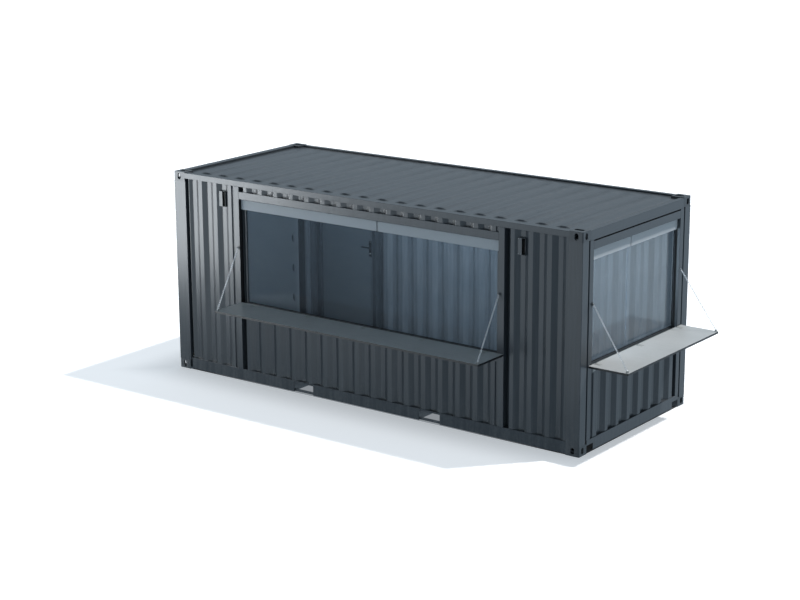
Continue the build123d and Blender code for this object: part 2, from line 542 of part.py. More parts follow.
# --------------------------------------------------------------- counters
def counter(side):
    """Counter board, its hinge straps and the fixed hinge lugs."""
    if side == "front":
        a, b = CT_FRONT
        n = 5
    else:
        a, b = CT_END
        n = 3
    # built along +u with v pointing outwards, then turned into place
    def place(s):
        if side == "front":
            return Pos(0, YF, 0) * s                     # u = x, v = -y
        return Pos(XR, 0, 0) * Rot(0, 0, 90) * s
    bx = lambda u0, u1, v0, v1, z0, z1: box(u0, u1, -v0, -v1, z0, z1)
    board = bx(a, b, CT_GAP, CT_OUT, CT_Z - CT_T, CT_Z)
    oe = [e for e in board.edges().filter_by(Axis.Z) if e.center().Y < -CT_OUT + 1]
    board = fillet(oe, 12)
    straps, lugs = [], []
    for i in range(n):
        u = a + (b - a) * (0.06 + 0.88 * i / (n - 1))
        board -= bx(u - 27, u + 27, 0, AXIS_OUT + 12, CT_Z - 60, CT_Z + 10)
        v = -AXIS_OUT
        st = cyl((u - 26, v, CT_Z), (u - 13, v, CT_Z), 8) + cyl((u + 13, v, CT_Z), (u + 26, v, CT_Z), 8)
        st += cyl((u - 14, v, CT_Z), (u + 14, v, CT_Z), 4)
        st += bx(u - 26, u - 13, AXIS_OUT, AXIS_OUT + 15, CT_Z, CT_Z + 3.5)
        st += bx(u + 13, u + 26, AXIS_OUT, AXIS_OUT + 15, CT_Z, CT_Z + 3.5)
        st += bx(u - 26, u + 26, AXIS_OUT + 12, AXIS_OUT + 62, CT_Z, CT_Z + 3.5)
        straps.append(st)
        lg = bx(u - 11.5, u + 11.5, 0, AXIS_OUT, CT_Z - 8, CT_Z - 1) + bx(u - 26, u + 26, 0, 4, 945, SILL_Z1)
        lg += bx(u - 11.5, u + 11.5, 0, 6, 990, CT_Z - 1)
        lg += cyl((u - 12, v, CT_Z), (u + 12, v, CT_Z), 8)
        lg -= cyl((u - 30, v, CT_Z), (u + 30, v, CT_Z), 4.06)
        lugs.append(lg)
    eyes = []
    for u, s in ((a + EYE_IN, 1), (b - EYE_IN, -1)):
        e = bx(u - 18, u + 18, EYE_OUT - 14, EYE_OUT + 14, CT_Z, CT_Z + 3)
        for c in (-1, 1):
            e += bx(u + c * 8, u + c * 11, EYE_OUT - 9, EYE_OUT + 9, CT_Z, CT_Z + EYE_UP + 9)
        e += cyl((u - 14, -EYE_OUT, CT_Z + EYE_UP), (u + 14, -EYE_OUT, CT_Z + EYE_UP), PIN_R)
        eyes.append(e)
    return ([place(board)], [place(s) for s in straps], [place(s) for s in lugs],
            [place(s) for s in eyes])


for side in ("front", "end"):
    bd, st, lg, ey = counter(side)
    parts[side + "_counter_top"] = bd
    parts[side + "_counter_straps"] = st + ey
    parts[side + "_counter_hinge_lugs"] = lg

# --------------------------------------------------------------- chains
# each chain is two straight halves that meet in a line when the counter is down
chain_info = {}
anchors = []


def ring(centre, axis):
    pl = Plane(origin=tuple(centre - axis * RING_T / 2), z_dir=tuple(axis))
    return extrude(pl * Circle(RING_O), amount=RING_T)


def ring_hole(centre, axis):
    pl = Plane(origin=tuple(centre - axis * RING_T), z_dir=tuple(axis))
    return extrude(pl * Circle(RING_I), amount=2 * RING_T)


def chain(name, anchor, eye, flat, lean=-1):
    """Two halves, each a round bar with a ring on its pin.

    The upper half turns on the jamb pin and ends up hanging straight down.
    The lower half turns on the counter pin and ends up along flat, which is
    the direction from the counter's outer edge to its hinge. lean picks the
    side each half ends on, so that the halves pass each other in travel.
    """
    A_, E_ = Vector(*anchor), Vector(*eye)
    d = (E_ - A_)
    full = d.length
    u = d.normalized()
    side = Vector(1, 0, 0) if abs(flat.Y) > 0.5 else Vector(0, 1, 0)
    side = (side - u * side.dot(u)).normalized()
    if side.dot(A_ - E_) < 0:
        side = side * -1
    side = side * lean
    mu = A_ + u * (full - CHAIN_LOW - CHAIN_GAP / 2) + side * CHAIN_SIDE
    ml = E_ - u * (CHAIN_LOW - CHAIN_GAP / 2) - side * CHAIN_SIDE
    for nm, p, m, end in (("_upper", A_, mu, Vector(0, 0, -1)), ("_lower", E_, ml, flat)):
        w = (m - p).normalized()
        ax = w.cross(end).normalized()
        s = ring(p, ax) + cyl(tuple(p + w * 7.5), tuple(m), CHAIN_R)
        parts[name + nm] = [s - ring_hole(p, ax)]
    chain_info[name] = (tuple(A_), tuple(E_), tuple(mu), tuple(ml), full)


def anchor_eye(p, n):
    """Clevis plate on a stile face; n points out of the face, the pin runs across."""
    p, n = Vector(*p), Vector(*n)
    along_x = abs(n.Y) > 0.5

    def bk(u0, u1, v0, v1, z0, z1):
        if along_x:
            return box(p.X + u0, p.X + u1, YF - v0, YF - v1, p.Z + z0, p.Z + z1)
        return box(XR + v0, XR + v1, p.Y + u0, p.Y + u1, p.Z + z0, p.Z + z1)
    e = bk(-16, 16, 0, 3, -26, 26)
    for c in (-1, 1):
        e += bk(c * 8, c * 11, 2, ANCH_OUT + 7, -8, 8)
    u = Vector(1, 0, 0) if along_x else Vector(0, 1, 0)
    e += cyl(tuple(p - u * 14), tuple(p + u * 14), PIN_R)
    return e


fl = (FR_X0 + STILE - 18, YF - ANCH_OUT, ANCH_Z)
fr = (FR_X1 - STILE + 18, YF - ANCH_OUT, ANCH_Z)
en = (XR + ANCH_OUT, EF_Y0 + STILE - 18, ANCH_Z)
ef = (XR + ANCH_OUT, EF_Y1 - STILE + 18, ANCH_Z)
chain("front_chain_left", fl, (CT_FRONT[0] + EYE_IN, YF - EYE_OUT, CT_Z + EYE_UP), Vector(0, 1, 0), 1)
chain("front_chain_right", fr, (CT_FRONT[1] - EYE_IN, YF - EYE_OUT, CT_Z + EYE_UP), Vector(0, 1, 0))
chain("end_chain_near", en, (XR + EYE_OUT, CT_END[0] + EYE_IN, CT_Z + EYE_UP), Vector(-1, 0, 0))
chain("end_chain_far", ef, (XR + EYE_OUT, CT_END[1] - EYE_IN, CT_Z + EYE_UP), Vector(-1, 0, 0))
parts["chain_anchors"] = [anchor_eye(fl, (0, -1, 0)), anchor_eye(fr, (0, -1, 0)),
                          anchor_eye(en, (1, 0, 0)), anchor_eye(ef, (1, 0, 0))]

# ----------------------------------------------------------------- export
allc = Compound(children=[Compound(children=[s for s in v]) for v in parts.values()])
bb = allc.bounding_box()
OX, OY, OZ = -(bb.min.X + bb.max.X) / 2, -(bb.min.Y + bb.max.Y) / 2, -bb.min.Z
print("shift to origin:", OX, OY, OZ)
print("box:", bb.size)
mv = lambda p: tuple(round((c + o) / 1000, 6) for c, o in zip(p, (OX, OY, OZ)))
print("front counter axis", mv((0, YF - AXIS_OUT, CT_Z)))
print("end counter axis", mv((XR + AXIS_OUT, 0, CT_Z)))
print("back door axis", mv((BH_X, BH_Y, 1000)))
for n_, (a_, e_, mu_, ml_, full_) in chain_info.items():
    print(n_, "anchor", mv(a_), "eye", mv(e_), "upper_end", mv(mu_), "lower_end", mv(ml_),
          "length", round(full_, 2))
for name, solids in parts.items():
    flat = []
    for s in solids:
        flat += list(s.solids())
    shape = flat[0] if len(flat) == 1 else Compound(children=flat)
    export_step(Pos(OX, OY, OZ) * shape, f"parts/{name}.step")
print(len(parts), "nodes")
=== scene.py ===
import json
import math
import random

import bmesh
import bpy
from mathutils import Matrix, Vector

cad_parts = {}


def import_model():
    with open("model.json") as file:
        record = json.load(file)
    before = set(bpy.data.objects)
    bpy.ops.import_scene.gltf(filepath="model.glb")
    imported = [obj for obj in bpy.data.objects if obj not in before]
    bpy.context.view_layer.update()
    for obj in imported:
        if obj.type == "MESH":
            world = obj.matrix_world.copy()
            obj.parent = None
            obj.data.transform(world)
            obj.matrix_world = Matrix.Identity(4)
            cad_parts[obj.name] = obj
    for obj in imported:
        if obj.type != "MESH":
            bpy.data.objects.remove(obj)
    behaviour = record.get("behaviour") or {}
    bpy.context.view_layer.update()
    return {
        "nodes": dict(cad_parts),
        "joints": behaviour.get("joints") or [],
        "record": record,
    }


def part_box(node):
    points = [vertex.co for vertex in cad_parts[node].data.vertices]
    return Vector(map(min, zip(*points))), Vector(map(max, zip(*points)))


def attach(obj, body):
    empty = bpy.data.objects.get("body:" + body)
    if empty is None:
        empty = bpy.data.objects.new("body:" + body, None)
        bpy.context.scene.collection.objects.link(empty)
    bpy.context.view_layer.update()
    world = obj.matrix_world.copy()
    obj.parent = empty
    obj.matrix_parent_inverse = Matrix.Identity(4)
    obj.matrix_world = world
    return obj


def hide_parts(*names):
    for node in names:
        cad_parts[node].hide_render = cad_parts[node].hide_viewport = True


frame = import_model()
N = frame["nodes"]
JOINT = {j["name"]: j for j in frame["joints"]}
scene = bpy.context.scene
rnd = random.Random(7)

# ------------------------------------------------------------------ the frame
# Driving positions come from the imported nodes' boxes.
posts_lo, posts_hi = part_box("corner_posts")
X0, X1 = posts_lo.x, posts_hi.x            # door end, window end
Y0, Y1 = posts_lo.y, posts_hi.y            # window side, back side
CXM, CYM = (X0 + X1) / 2, (Y0 + Y1) / 2
XL, XR = (X0 - CXM) * 1000, (X1 - CXM) * 1000
YF, YB = (Y0 - CYM) * 1000, (Y1 - CYM) * 1000


def P(x, y, z):
    """Millimetres from the container's centre line to the row frame."""
    return Vector((CXM + x / 1000, CYM + y / 1000, z / 1000))


def mm(node):
    """A node's box in the same millimetres."""
    lo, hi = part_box(node)
    return ((lo.x - CXM) * 1000, (hi.x - CXM) * 1000, (lo.y - CYM) * 1000, (hi.y - CYM) * 1000,
            lo.z * 1000, hi.z * 1000)


# ------------------------------------------------------------------ camera
def camera():
    yaw, pitch, roll = 0.641, 0.2595, -0.0048
    d = Vector((-math.sin(yaw) * math.cos(pitch), math.cos(yaw) * math.cos(pitch), -math.sin(pitch)))
    r = d.cross(Vector((0, 0, 1))).normalized()
    u = r.cross(d)
    right = math.cos(roll) * r + math.sin(roll) * u
    up = -math.sin(roll) * r + math.cos(roll) * u
    cam = bpy.data.cameras.new("camera")
    cam.sensor_fit, cam.sensor_width = "HORIZONTAL", 36.0
    cam.lens = 1925.97 / 800 * 36.0
    cam.clip_start, cam.clip_end = 0.5, 600
    o = bpy.data.objects.new("camera", cam)
    m = Matrix((right, up, -d)).transposed().to_4x4()
    m.translation = Vector((X0 + 16.6654, Y0 - 17.5547, 7.2623))
    o.matrix_world = m
    scene.collection.objects.link(o)
    scene.camera = o


camera()


# ------------------------------------------------------------------ node helpers
class Nodes:
    """Short way to write a material's nodes."""

    def __init__(self, name):
        self.m = bpy.data.materials.new(name)
        self.m.use_nodes = True
        self.nt = self.m.node_tree
        self.b = self.nt.nodes["Principled BSDF"]
        self.out = self.nt.nodes["Material Output"]
        self.tc = self.nt.nodes.new("ShaderNodeTexCoord")

    def new(self, kind, **kw):
        n = self.nt.nodes.new(kind)
        for k, v in kw.items():
            setattr(n, k, v)
        return n

    def link(self, a, b):
        self.nt.links.new(a, b)

    def scaled(self, s, src=None):
        n = self.new("ShaderNodeMapping")
        n.inputs["Scale"].default_value = s
        self.link(src or self.tc.outputs["Object"], n.inputs["Vector"])
        return n.outputs[0]

    def noise(self, scale, vec=None, detail=3.0, rough=0.55):
        n = self.new("ShaderNodeTexNoise")
        n.inputs["Scale"].default_value = scale
        n.inputs["Detail"].default_value = detail
        n.inputs["Roughness"].default_value = rough
        self.link(vec or self.tc.outputs["Object"], n.inputs["Vector"])
        return n.outputs["Fac"]

    def range(self, src, a, b, c, d, smooth=False):
        n = self.new("ShaderNodeMapRange")
        n.interpolation_type = "SMOOTHSTEP" if smooth else "LINEAR"
        for i, v in zip((1, 2, 3, 4), (a, b, c, d)):
            n.inputs[i].default_value = v
        self.link(src, n.inputs[0])
        return n.outputs[0]

    def math(self, op, a, b):
        n = self.new("ShaderNodeMath", operation=op)
        for i, v in enumerate((a, b)):
            if isinstance(v, (int, float)):
                n.inputs[i].default_value = v
            else:
                self.link(v, n.inputs[i])
        return n.outputs[0]

    def mix(self, fac, a, b):
        n = self.new("ShaderNodeMix", data_type="RGBA")
        self.link(fac, n.inputs["Factor"])
        for key, v in (("A", a), ("B", b)):
            s = [i for i in n.inputs if i.name == key and i.type == "RGBA"][0]
            if isinstance(v, tuple):
                s.default_value = (*v, 1)
            else:
                self.link(v, s)
        return [o for o in n.outputs if o.type == "RGBA"][0]

    def bump(self, height, strength, dist, under=None):
        n = self.new("ShaderNodeBump")
        n.inputs["Strength"].default_value = strength
        n.inputs["Distance"].default_value = dist
        self.link(height, n.inputs["Height"])
        if under is not None:
            self.link(under, n.inputs["Normal"])
        return n.outputs[0]

    def sep(self, src):
        n = self.new("ShaderNodeSeparateXYZ")
        self.link(src, n.inputs[0])
        return n.outputs


def painted(name, base, rough=0.34, dust=1.0, peel=1.0, spec=0.5, pale=None):
    """Sprayed steel: orange peel, faint hand-waviness, runs of thin dust below and on ledges."""
    k = Nodes(name)
    xyz = k.sep(k.tc.outputs["Object"])
    nz = k.sep(k.tc.outputs["Normal"])[2]
    streak = k.noise(5.0, k.scaled((5.0, 5.0, 0.35)), 4, 0.6)
    cloud = k.noise(1.3, None, 3, 0.5)
    fine = k.noise(38.0, None, 2, 0.6)
    light = tuple(min(1, c * 1.28 + 0.004) for c in base)
    dark = tuple(c * 0.86 for c in base)
    col = k.mix(k.range(streak, 0.35, 0.68, 0, 1), dark, light)
    col = k.mix(k.range(cloud, 0.30, 0.75, 0.15, 0.6), col, base)
    up = k.range(nz, 0.6, 0.98, 0, 1, True)
    low = k.range(xyz[2], 0.0, 0.55, 0.22, 0.0, True)
    spots = k.range(k.math("MULTIPLY", fine, streak), 0.18, 0.42, 0.0, 1.0)
    soil = k.math("MULTIPLY", k.math("ADD", k.math("MULTIPLY", up, 0.16 * dust), k.math("MULTIPLY", low, dust)), spots)
    col = k.mix(soil, col, (0.17, 0.165, 0.155))
    if pale:
        # the side of a door leaf that faces into the cabin
        n_in = k.sep(k.tc.outputs["Normal"])[pale[0]]
        col = k.mix(k.range(k.math("MULTIPLY", n_in, pale[1]), 0.5, 0.8, 0, 1, True), col, pale[2])
    k.link(col, k.b.inputs["Base Color"])
    r = k.range(streak, 0.3, 0.7, rough - 0.035, rough + 0.045)
    r = k.math("ADD", r, k.math("MULTIPLY", soil, 0.35))
    k.link(r, k.b.inputs["Roughness"])
    k.b.inputs["Specular IOR Level"].default_value = spec
    wave = k.noise(3.2, None, 2, 0.5)
    n1 = k.bump(wave, 0.35 * peel, 0.0035)
    peel_n = k.noise(420.0, None, 2, 0.5)
    k.link(k.bump(peel_n, 0.10 * peel, 0.0006, n1), k.b.inputs["Normal"])
    return k.m


M = {}
PAINT = (0.040, 0.048, 0.056)
M["paint"] = painted("paint", PAINT)
M["door_paint"] = painted("door_paint", PAINT, pale=(1, -1.0, (0.130, 0.152, 0.172)))
M["cargo_paint"] = painted("cargo_paint", PAINT, pale=(0, 1.0, (0.150, 0.172, 0.192)))
M["paint_cast"] = painted("paint_cast", (0.040, 0.047, 0.054), 0.40, 1.3, 2.2)
M["lock_gear"] = painted("lock_gear", (0.046, 0.053, 0.061), 0.36, 1.0, 1.4)


def plywood():
    k = Nodes("plywood")
    xyz = k.sep(k.tc.outputs["Object"])
    grain = k.noise(9.0, k.scaled((1.1, 26.0, 8.0)), 6, 0.62)
    cloud = k.noise(2.2, None, 3, 0.5)
    col = k.mix(k.range(grain, 0.32, 0.70, 0, 1), (0.095, 0.052, 0.027), (0.205, 0.128, 0.070))
    col = k.mix(k.range(cloud, 0.35, 0.75, 0, 0.45), col, (0.10, 0.072, 0.050))
    # boards 1.2 m by the full width, so a dark joint every 1.19 m
    t = k.math("FRACT", k.math("DIVIDE", k.math("ADD", xyz[0], 40.0), 1.1692), 0.0)
    joint = k.math("LESS_THAN", t, 0.0042)
    col = k.mix(joint, col, (0.012, 0.010, 0.009))
    k.link(col, k.b.inputs["Base Color"])
    k.link(k.range(grain, 0.3, 0.7, 0.38, 0.58), k.b.inputs["Roughness"])
    n = k.bump(grain, 0.25, 0.0006)
    k.link(k.bump(joint, 0.8, -0.002, n), k.b.inputs["Normal"])
    return k.m


def laminate():
    """Compact laminate counter: pale top and bottom faces, near black on the edge faces."""
    k = Nodes("counter_board")
    nz = k.sep(k.tc.outputs["Normal"])[2]
    face = k.range(k.math("ABSOLUTE", nz, 0.0), 0.55, 0.8, 0, 1)
    grit = k.noise(260.0, None, 2, 0.7)
    cloud = k.noise(2.6, None, 3, 0.5)
    wipe = k.noise(7.0, k.scaled((1.0, 5.0, 1.0)), 4, 0.6)
    top = k.mix(k.range(grit, 0.35, 0.7, 0, 1), (0.430, 0.440, 0.436), (0.492, 0.503, 0.498))
    top = k.mix(k.range(cloud, 0.35, 0.75, 0, 0.35), top, (0.325, 0.338, 0.333))
    col = k.mix(face, (0.012, 0.012, 0.013), top)
    k.link(col, k.b.inputs["Base Color"])
    k.link(k.range(wipe, 0.3, 0.7, 0.34, 0.50), k.b.inputs["Roughness"])
    k.link(k.bump(grit, 0.08, 0.0003), k.b.inputs["Normal"])
    return k.m


def brushed(name, a, b, rough, metal, along=(1.0, 30.0, 30.0), spec=0.5):
    """Metal with fine lines drawn along its length."""
    k = Nodes(name)
    line = k.noise(24.0, k.scaled(along), 4, 0.65)
    cloud = k.noise(2.0, None, 3, 0.5)
    col = k.mix(k.range(line, 0.3, 0.7, 0, 1), a, b)
    col = k.mix(k.range(cloud, 0.3, 0.75, 0, 0.4), col, tuple((x + y) / 2 * 0.9 for x, y in zip(a, b)))
    k.link(col, k.b.inputs["Base Color"])
    k.link(k.range(line, 0.3, 0.7, rough - 0.05, rough + 0.08), k.b.inputs["Roughness"])
    k.b.inputs["Metallic"].default_value = metal
    k.b.inputs["Specular IOR Level"].default_value = spec
    k.link(k.bump(line, 0.12, 0.0002), k.b.inputs["Normal"])
    return k.m


def zinc(name, a, b, rough):
    k = Nodes(name)
    v = k.new("ShaderNodeTexVoronoi")
    v.inputs["Scale"].default_value = 160.0
    k.link(k.tc.outputs["Object"], v.inputs["Vector"])
    cell = k.sep(v.outputs["Color"])[0]
    cloud = k.noise(30.0, None, 3, 0.6)
    col = k.mix(cell, a, b)
    col = k.mix(k.range(cloud, 0.4, 0.75, 0, 0.5), col, tuple(x * 0.6 for x in a))
    k.link(col, k.b.inputs["Base Color"])
    k.b.inputs["Metallic"].default_value = 0.5
    k.link(k.range(cloud, 0.3, 0.7, rough - 0.06, rough + 0.12), k.b.inputs["Roughness"])
    k.link(k.bump(cloud, 0.15, 0.0002), k.b.inputs["Normal"])
    return k.m


def rubber(name, c=0.008, rough=0.62):
    k = Nodes(name)
    g = k.noise(300.0, None, 2, 0.6)
    col = k.mix(k.range(g, 0.3, 0.7, 0, 1), (c, c, c * 1.05), (c * 1.9, c * 1.9, c * 2.0))
    k.link(col, k.b.inputs["Base Color"])
    k.link(k.range(g, 0.3, 0.7, rough - 0.06, rough + 0.08), k.b.inputs["Roughness"])
    k.b.inputs["Specular IOR Level"].default_value = 0.25
    k.link(k.bump(g, 0.2, 0.0003), k.b.inputs["Normal"])
    return k.m


def glass():
    k = Nodes("glass")
    k.nt.nodes.remove(k.b)
    tr = k.new("ShaderNodeBsdfTransparent")
    smear = k.noise(1.6, k.scaled((1.0, 1.0, 2.2)), 4, 0.6)
    k.link(k.mix(k.range(smear, 0.35, 0.75, 0, 1), (0.86, 0.90, 0.93), (0.82, 0.87, 0.91)), tr.inputs["Color"])
    gl = k.new("ShaderNodeBsdfGlossy")
    gm = k.new("ShaderNodeNewGeometry")
    gs = k.new("ShaderNodeSeparateXYZ")
    k.link(gm.outputs["Normal"], gs.inputs[0])
    # painted reflection: the gloss colour follows which way the pane faces, dim and bluish on the long-side panes,
    # bright and warm on the end panes
    k.link(k.mix(k.math("ABSOLUTE", gs.outputs[0], 0.0), (0.34, 0.37, 0.41), (0.93, 0.84, 0.75)), gl.inputs["Color"])
    k.link(k.range(smear, 0.3, 0.75, 0.07, 0.13), gl.inputs["Roughness"])
    # share of mirrored light on each of the two faces, more at a glancing view
    lw = k.new("ShaderNodeLayerWeight")
    lw.inputs["Blend"].default_value = 0.5
    fr = k.math("ADD", k.math("MULTIPLY", k.math("POWER", lw.outputs["Facing"], 5.0), 0.85), 0.036)
    mx = k.new("ShaderNodeMixShader")
    k.link(fr, mx.inputs[0])
    k.link(tr.outputs[0], mx.inputs[1])
    k.link(gl.outputs[0], mx.inputs[2])
    # thin film of dust and dried water on the panes
    df = k.new("ShaderNodeBsdfDiffuse")
    df.inputs["Color"].default_value = (0.66, 0.70, 0.74, 1)
    film = k.new("ShaderNodeMixShader")
    k.link(k.range(smear, 0.3, 0.75, 0.012, 0.026), film.inputs[0])
    k.link(mx.outputs[0], film.inputs[1])
    k.link(df.outputs[0], film.inputs[2])
    k.link(film.outputs[0], k.out.inputs["Surface"])
    return k.m


M["plywood"] = plywood()
M["counter_board"] = laminate()
M["head_rail"] = brushed("head_rail", (0.44, 0.465, 0.485), (0.50, 0.525, 0.545), 0.52, 0.0, spec=0.25)
M["track"] = brushed("track", (0.050, 0.060, 0.068), (0.066, 0.077, 0.086), 0.40, 0.0)
M["zinc"] = zinc("zinc", (0.50, 0.51, 0.52), (0.74, 0.75, 0.76), 0.34)
M["chain"] = zinc("chain", (0.74, 0.75, 0.77), (0.92, 0.93, 0.95), 0.30)
M["black_fitting"] = rubber("black_fitting", 0.006, 0.55)
M["rubber"] = rubber("rubber", 0.006, 0.66)
M["glass"] = glass()
M["inside"] = painted("inside", (0.135, 0.155, 0.175), 0.50, 0.3, 1.0, 0.3)
M["strap"] = painted("strap", (0.33, 0.34, 0.33), 0.42, 0.2, 0.6)

# ------------------------------------------------------------------ stage and light
left_coll = bpy.data.collections.new("painted_but_under_window")
strip_coll = bpy.data.collections.new("over_window_strip")
front_coll = bpy.data.collections.new("painted_but_bottom_rail")
glass_nodes = {"window_glass"}


def plane(name, size, z):
    me = bpy.data.meshes.new(name)
    s = size / 2
    me.from_pydata([(-s, -s, z), (s, -s, z), (s, s, z), (-s, s, z)], [], [(0, 1, 2, 3)])
    o = bpy.data.objects.new(name, me)
    scene.collection.objects.link(o)
    return o


floor = plane("floor", 400, -0.0005)
fm = bpy.data.materials.new("stage_floor")
fm.use_nodes = True
b = fm.node_tree.nodes["Principled BSDF"]
b.inputs["Base Color"].default_value = (0.76, 0.76, 0.76, 1)
b.inputs["Roughness"].default_value = 1.0
b.inputs["Specular IOR Level"].default_value = 0.0
b.inputs["Emission Color"].default_value = (0.93, 0.965, 1.0, 1)
ft_ = fm.node_tree


def fnode(kind, *ins):
    n = ft_.nodes.new("ShaderNodeMath")
    n.operation = kind
    for i, v in enumerate(ins):
        if isinstance(v, (int, float)):
            n.inputs[i].default_value = v
        else:
            ft_.links.new(v, n.inputs[i])
    return n.outputs[0]


# how far a point of the ground lies outside the cabin's footprint, in metres
fc_ = ft_.nodes.new("ShaderNodeTexCoord")
fs_ = ft_.nodes.new("ShaderNodeSeparateXYZ")
ft_.links.new(fc_.outputs["Object"], fs_.inputs[0])
dx_ = fnode("SUBTRACT", fnode("ABSOLUTE", fnode("SUBTRACT", fs_.outputs[0], P(0, 0, 0)[0])), 3.0)
dy_ = fnode("SUBTRACT", fnode("ABSOLUTE", fnode("SUBTRACT", fs_.outputs[1], P(0, 0, 0)[1])), 1.19)
# the floor glows less close to the cabin: a painted contact shadow on the ground
contact_shadow_ramp = ft_.nodes.new("ShaderNodeMapRange")
contact_shadow_ramp.interpolation_type = "SMOOTHSTEP"
for i_, v_ in zip((1, 2, 3, 4), (0.0, 0.75, 0.42, 0.64)):
    contact_shadow_ramp.inputs[i_].default_value = v_
ft_.links.new(fnode("MAXIMUM", dx_, dy_), contact_shadow_ramp.inputs[0])
ft_.links.new(contact_shadow_ramp.outputs[0], b.inputs["Emission Strength"])
floor.data.materials.append(fm)
floor.visible_glossy = False
floor.visible_diffuse = False
floor.visible_shadow = False

# a dark sheet on the ground under the cabin, which hardly any light reaches: painted shade there, glowing towards the
# middle as painted light seen through the fork pockets
under = bpy.data.meshes.new("painted_shade_and_glow_under_cabin")
under.from_pydata([tuple(P(x, y, 0.2)) for x, y in ((XL + 20, YF + 12), (XR - 8, YF + 12), (XR - 8, YB - 12), (XL + 20, YB - 12))],
                  [], [(0, 1, 2, 3)])
under = bpy.data.objects.new("painted_shade_and_glow_under_cabin", under)
scene.collection.objects.link(under)
k = bpy.data.materials.new("painted_shade_and_glow_under_cabin")
k.use_nodes = True
nt_ = k.node_tree
bs = nt_.nodes["Principled BSDF"]
bs.inputs["Base Color"].default_value = (0.10, 0.10, 0.10, 1)
bs.inputs["Roughness"].default_value = 1.0
bs.inputs["Specular IOR Level"].default_value = 0.0
bs.inputs["Emission Color"].default_value = (0.86, 0.93, 1.0, 1)
tc_ = nt_.nodes.new("ShaderNodeTexCoord")
sx_ = nt_.nodes.new("ShaderNodeSeparateXYZ")
nt_.links.new(tc_.outputs["Object"], sx_.inputs[0])
off_ = nt_.nodes.new("ShaderNodeMath")
off_.operation = "SUBTRACT"
off_.inputs[1].default_value = CXM
nt_.links.new(sx_.outputs[0], off_.inputs[0])
ab_ = nt_.nodes.new("ShaderNodeMath")
ab_.operation = "ABSOLUTE"
nt_.links.new(off_.outputs[0], ab_.inputs[0])
# more glow near the middle: painted light on the ground seen through the fork pockets, fading to painted shade towards
# the ends
pocket_glow_ramp = nt_.nodes.new("ShaderNodeMapRange")
for i_, v_ in zip((1, 2, 3, 4), (1.2, 2.6, 0.30, 0.01)):
    pocket_glow_ramp.inputs[i_].default_value = v_
nt_.links.new(ab_.outputs[0], pocket_glow_ramp.inputs[0])
nt_.links.new(pocket_glow_ramp.outputs[0], bs.inputs["Emission Strength"])
under.data.materials.append(k)
under.visible_glossy = False
under.visible_diffuse = False

scene.view_settings.view_transform = "Standard"


def world():
    w = bpy.data.worlds.new("studio")
    w.use_nodes = True
    nt = w.node_tree
    bg = nt.nodes["Background"]
    tc = nt.nodes.new("ShaderNodeTexCoord")
    sep = nt.nodes.new("ShaderNodeSeparateXYZ")
    nt.links.new(tc.outputs["Generated"], sep.inputs[0])

    def mr(src, a, b_, c, d):
        n = nt.nodes.new("ShaderNodeMapRange")
        n.interpolation_type = "SMOOTHSTEP"
        for i, v in zip((1, 2, 3, 4), (a, b_, c, d)):
            n.inputs[i].default_value = v
        nt.links.new(src, n.inputs[0])
        return n.outputs[0]

    def op(kind, a, b_):
        n = nt.nodes.new("ShaderNodeMath")
        n.operation = kind
        for i, v in enumerate((a, b_)):
            if isinstance(v, (int, float)):
                n.inputs[i].default_value = v
            else:
                nt.links.new(v, n.inputs[i])
        return n.outputs[0]

    z = sep.outputs[2]
    # height: dark straight down, brightest just under the horizon, moderate overhead
    up = mr(z, -0.33, -0.18, 0.16, 1.25)
    up2 = mr(z, -0.52, -0.18, 0.30, 1.40)
    ahead = mr(op("ADD", op("MULTIPLY", sep.outputs[0], 0.60), op("MULTIPLY", sep.outputs[1], 0.80)), 0.25, 0.85, 0.0, 1.0)
    up = op("ADD", up, op("MULTIPLY", ahead, op("SUBTRACT", up2, up)))
    down = mr(z, -0.10, 0.14, 1.0, 0.24)
    # the sky behind the long side, which the roof mirrors, pales with height
    back = op("ADD", op("MULTIPLY", sep.outputs[0], -0.60), op("MULTIPLY", sep.outputs[1], 0.80))
    behind = mr(back, 0.30, 0.90, 0.0, 1.0)
    base = op("MULTIPLY", op("MULTIPLY", up, down), op("SUBTRACT", 1.0, op("MULTIPLY", behind, 0.65)))
    val = op("ADD", base, op("MULTIPLY", behind, mr(z, -0.06, 0.62, 0.0, 0.85)))
    nt.links.new(val, bg.inputs["Strength"])
    bg.inputs["Color"].default_value = (0.69, 0.855, 1.0, 1)
    scene.world = w


world()


def sun(name, direction, strength, angle, color):
    l = bpy.data.lights.new(name, "SUN")
    l.energy, l.angle, l.color = strength, math.radians(angle), color
    o = bpy.data.objects.new(name, l)
    o.rotation_mode = "QUATERNION"
    o.rotation_quaternion = Vector(direction).to_track_quat("-Z", "Y")
    scene.collection.objects.link(o)
    return o


def area(name, at, to, size, energy, color=(1, 1, 1)):
    l = bpy.data.lights.new(name, "AREA")
    l.shape, l.size, l.size_y = "RECTANGLE", size[0], size[1]
    l.energy, l.color = energy, color
    o = bpy.data.objects.new(name, l)
    o.location = at
    o.rotation_mode = "QUATERNION"
    o.rotation_quaternion = (Vector(to) - Vector(at)).to_track_quat("-Z", "Y")
    o.visible_camera = False
    scene.collection.objects.link(o)
    return o


sun("sun", (-1.0, -1.19, -2.591), 2.95, 2.0, (0.985, 0.98, 0.98))
left = area("fill_left", P(-5180, -3250, 1960), P(-3180, -1170, 1960), (3.6, 2.8), 292, (0.93, 0.97, 1.0))
left.light_linking.receiver_collection = left_coll
left.visible_diffuse = False
front = area("fill_front", P(-1500, -4250, 1100), P(-1500, -1200, 1100), (6.4, 3.6), 70, (0.90, 0.96, 1.0))
front.light_linking.receiver_collection = front_coll
front.visible_diffuse = False
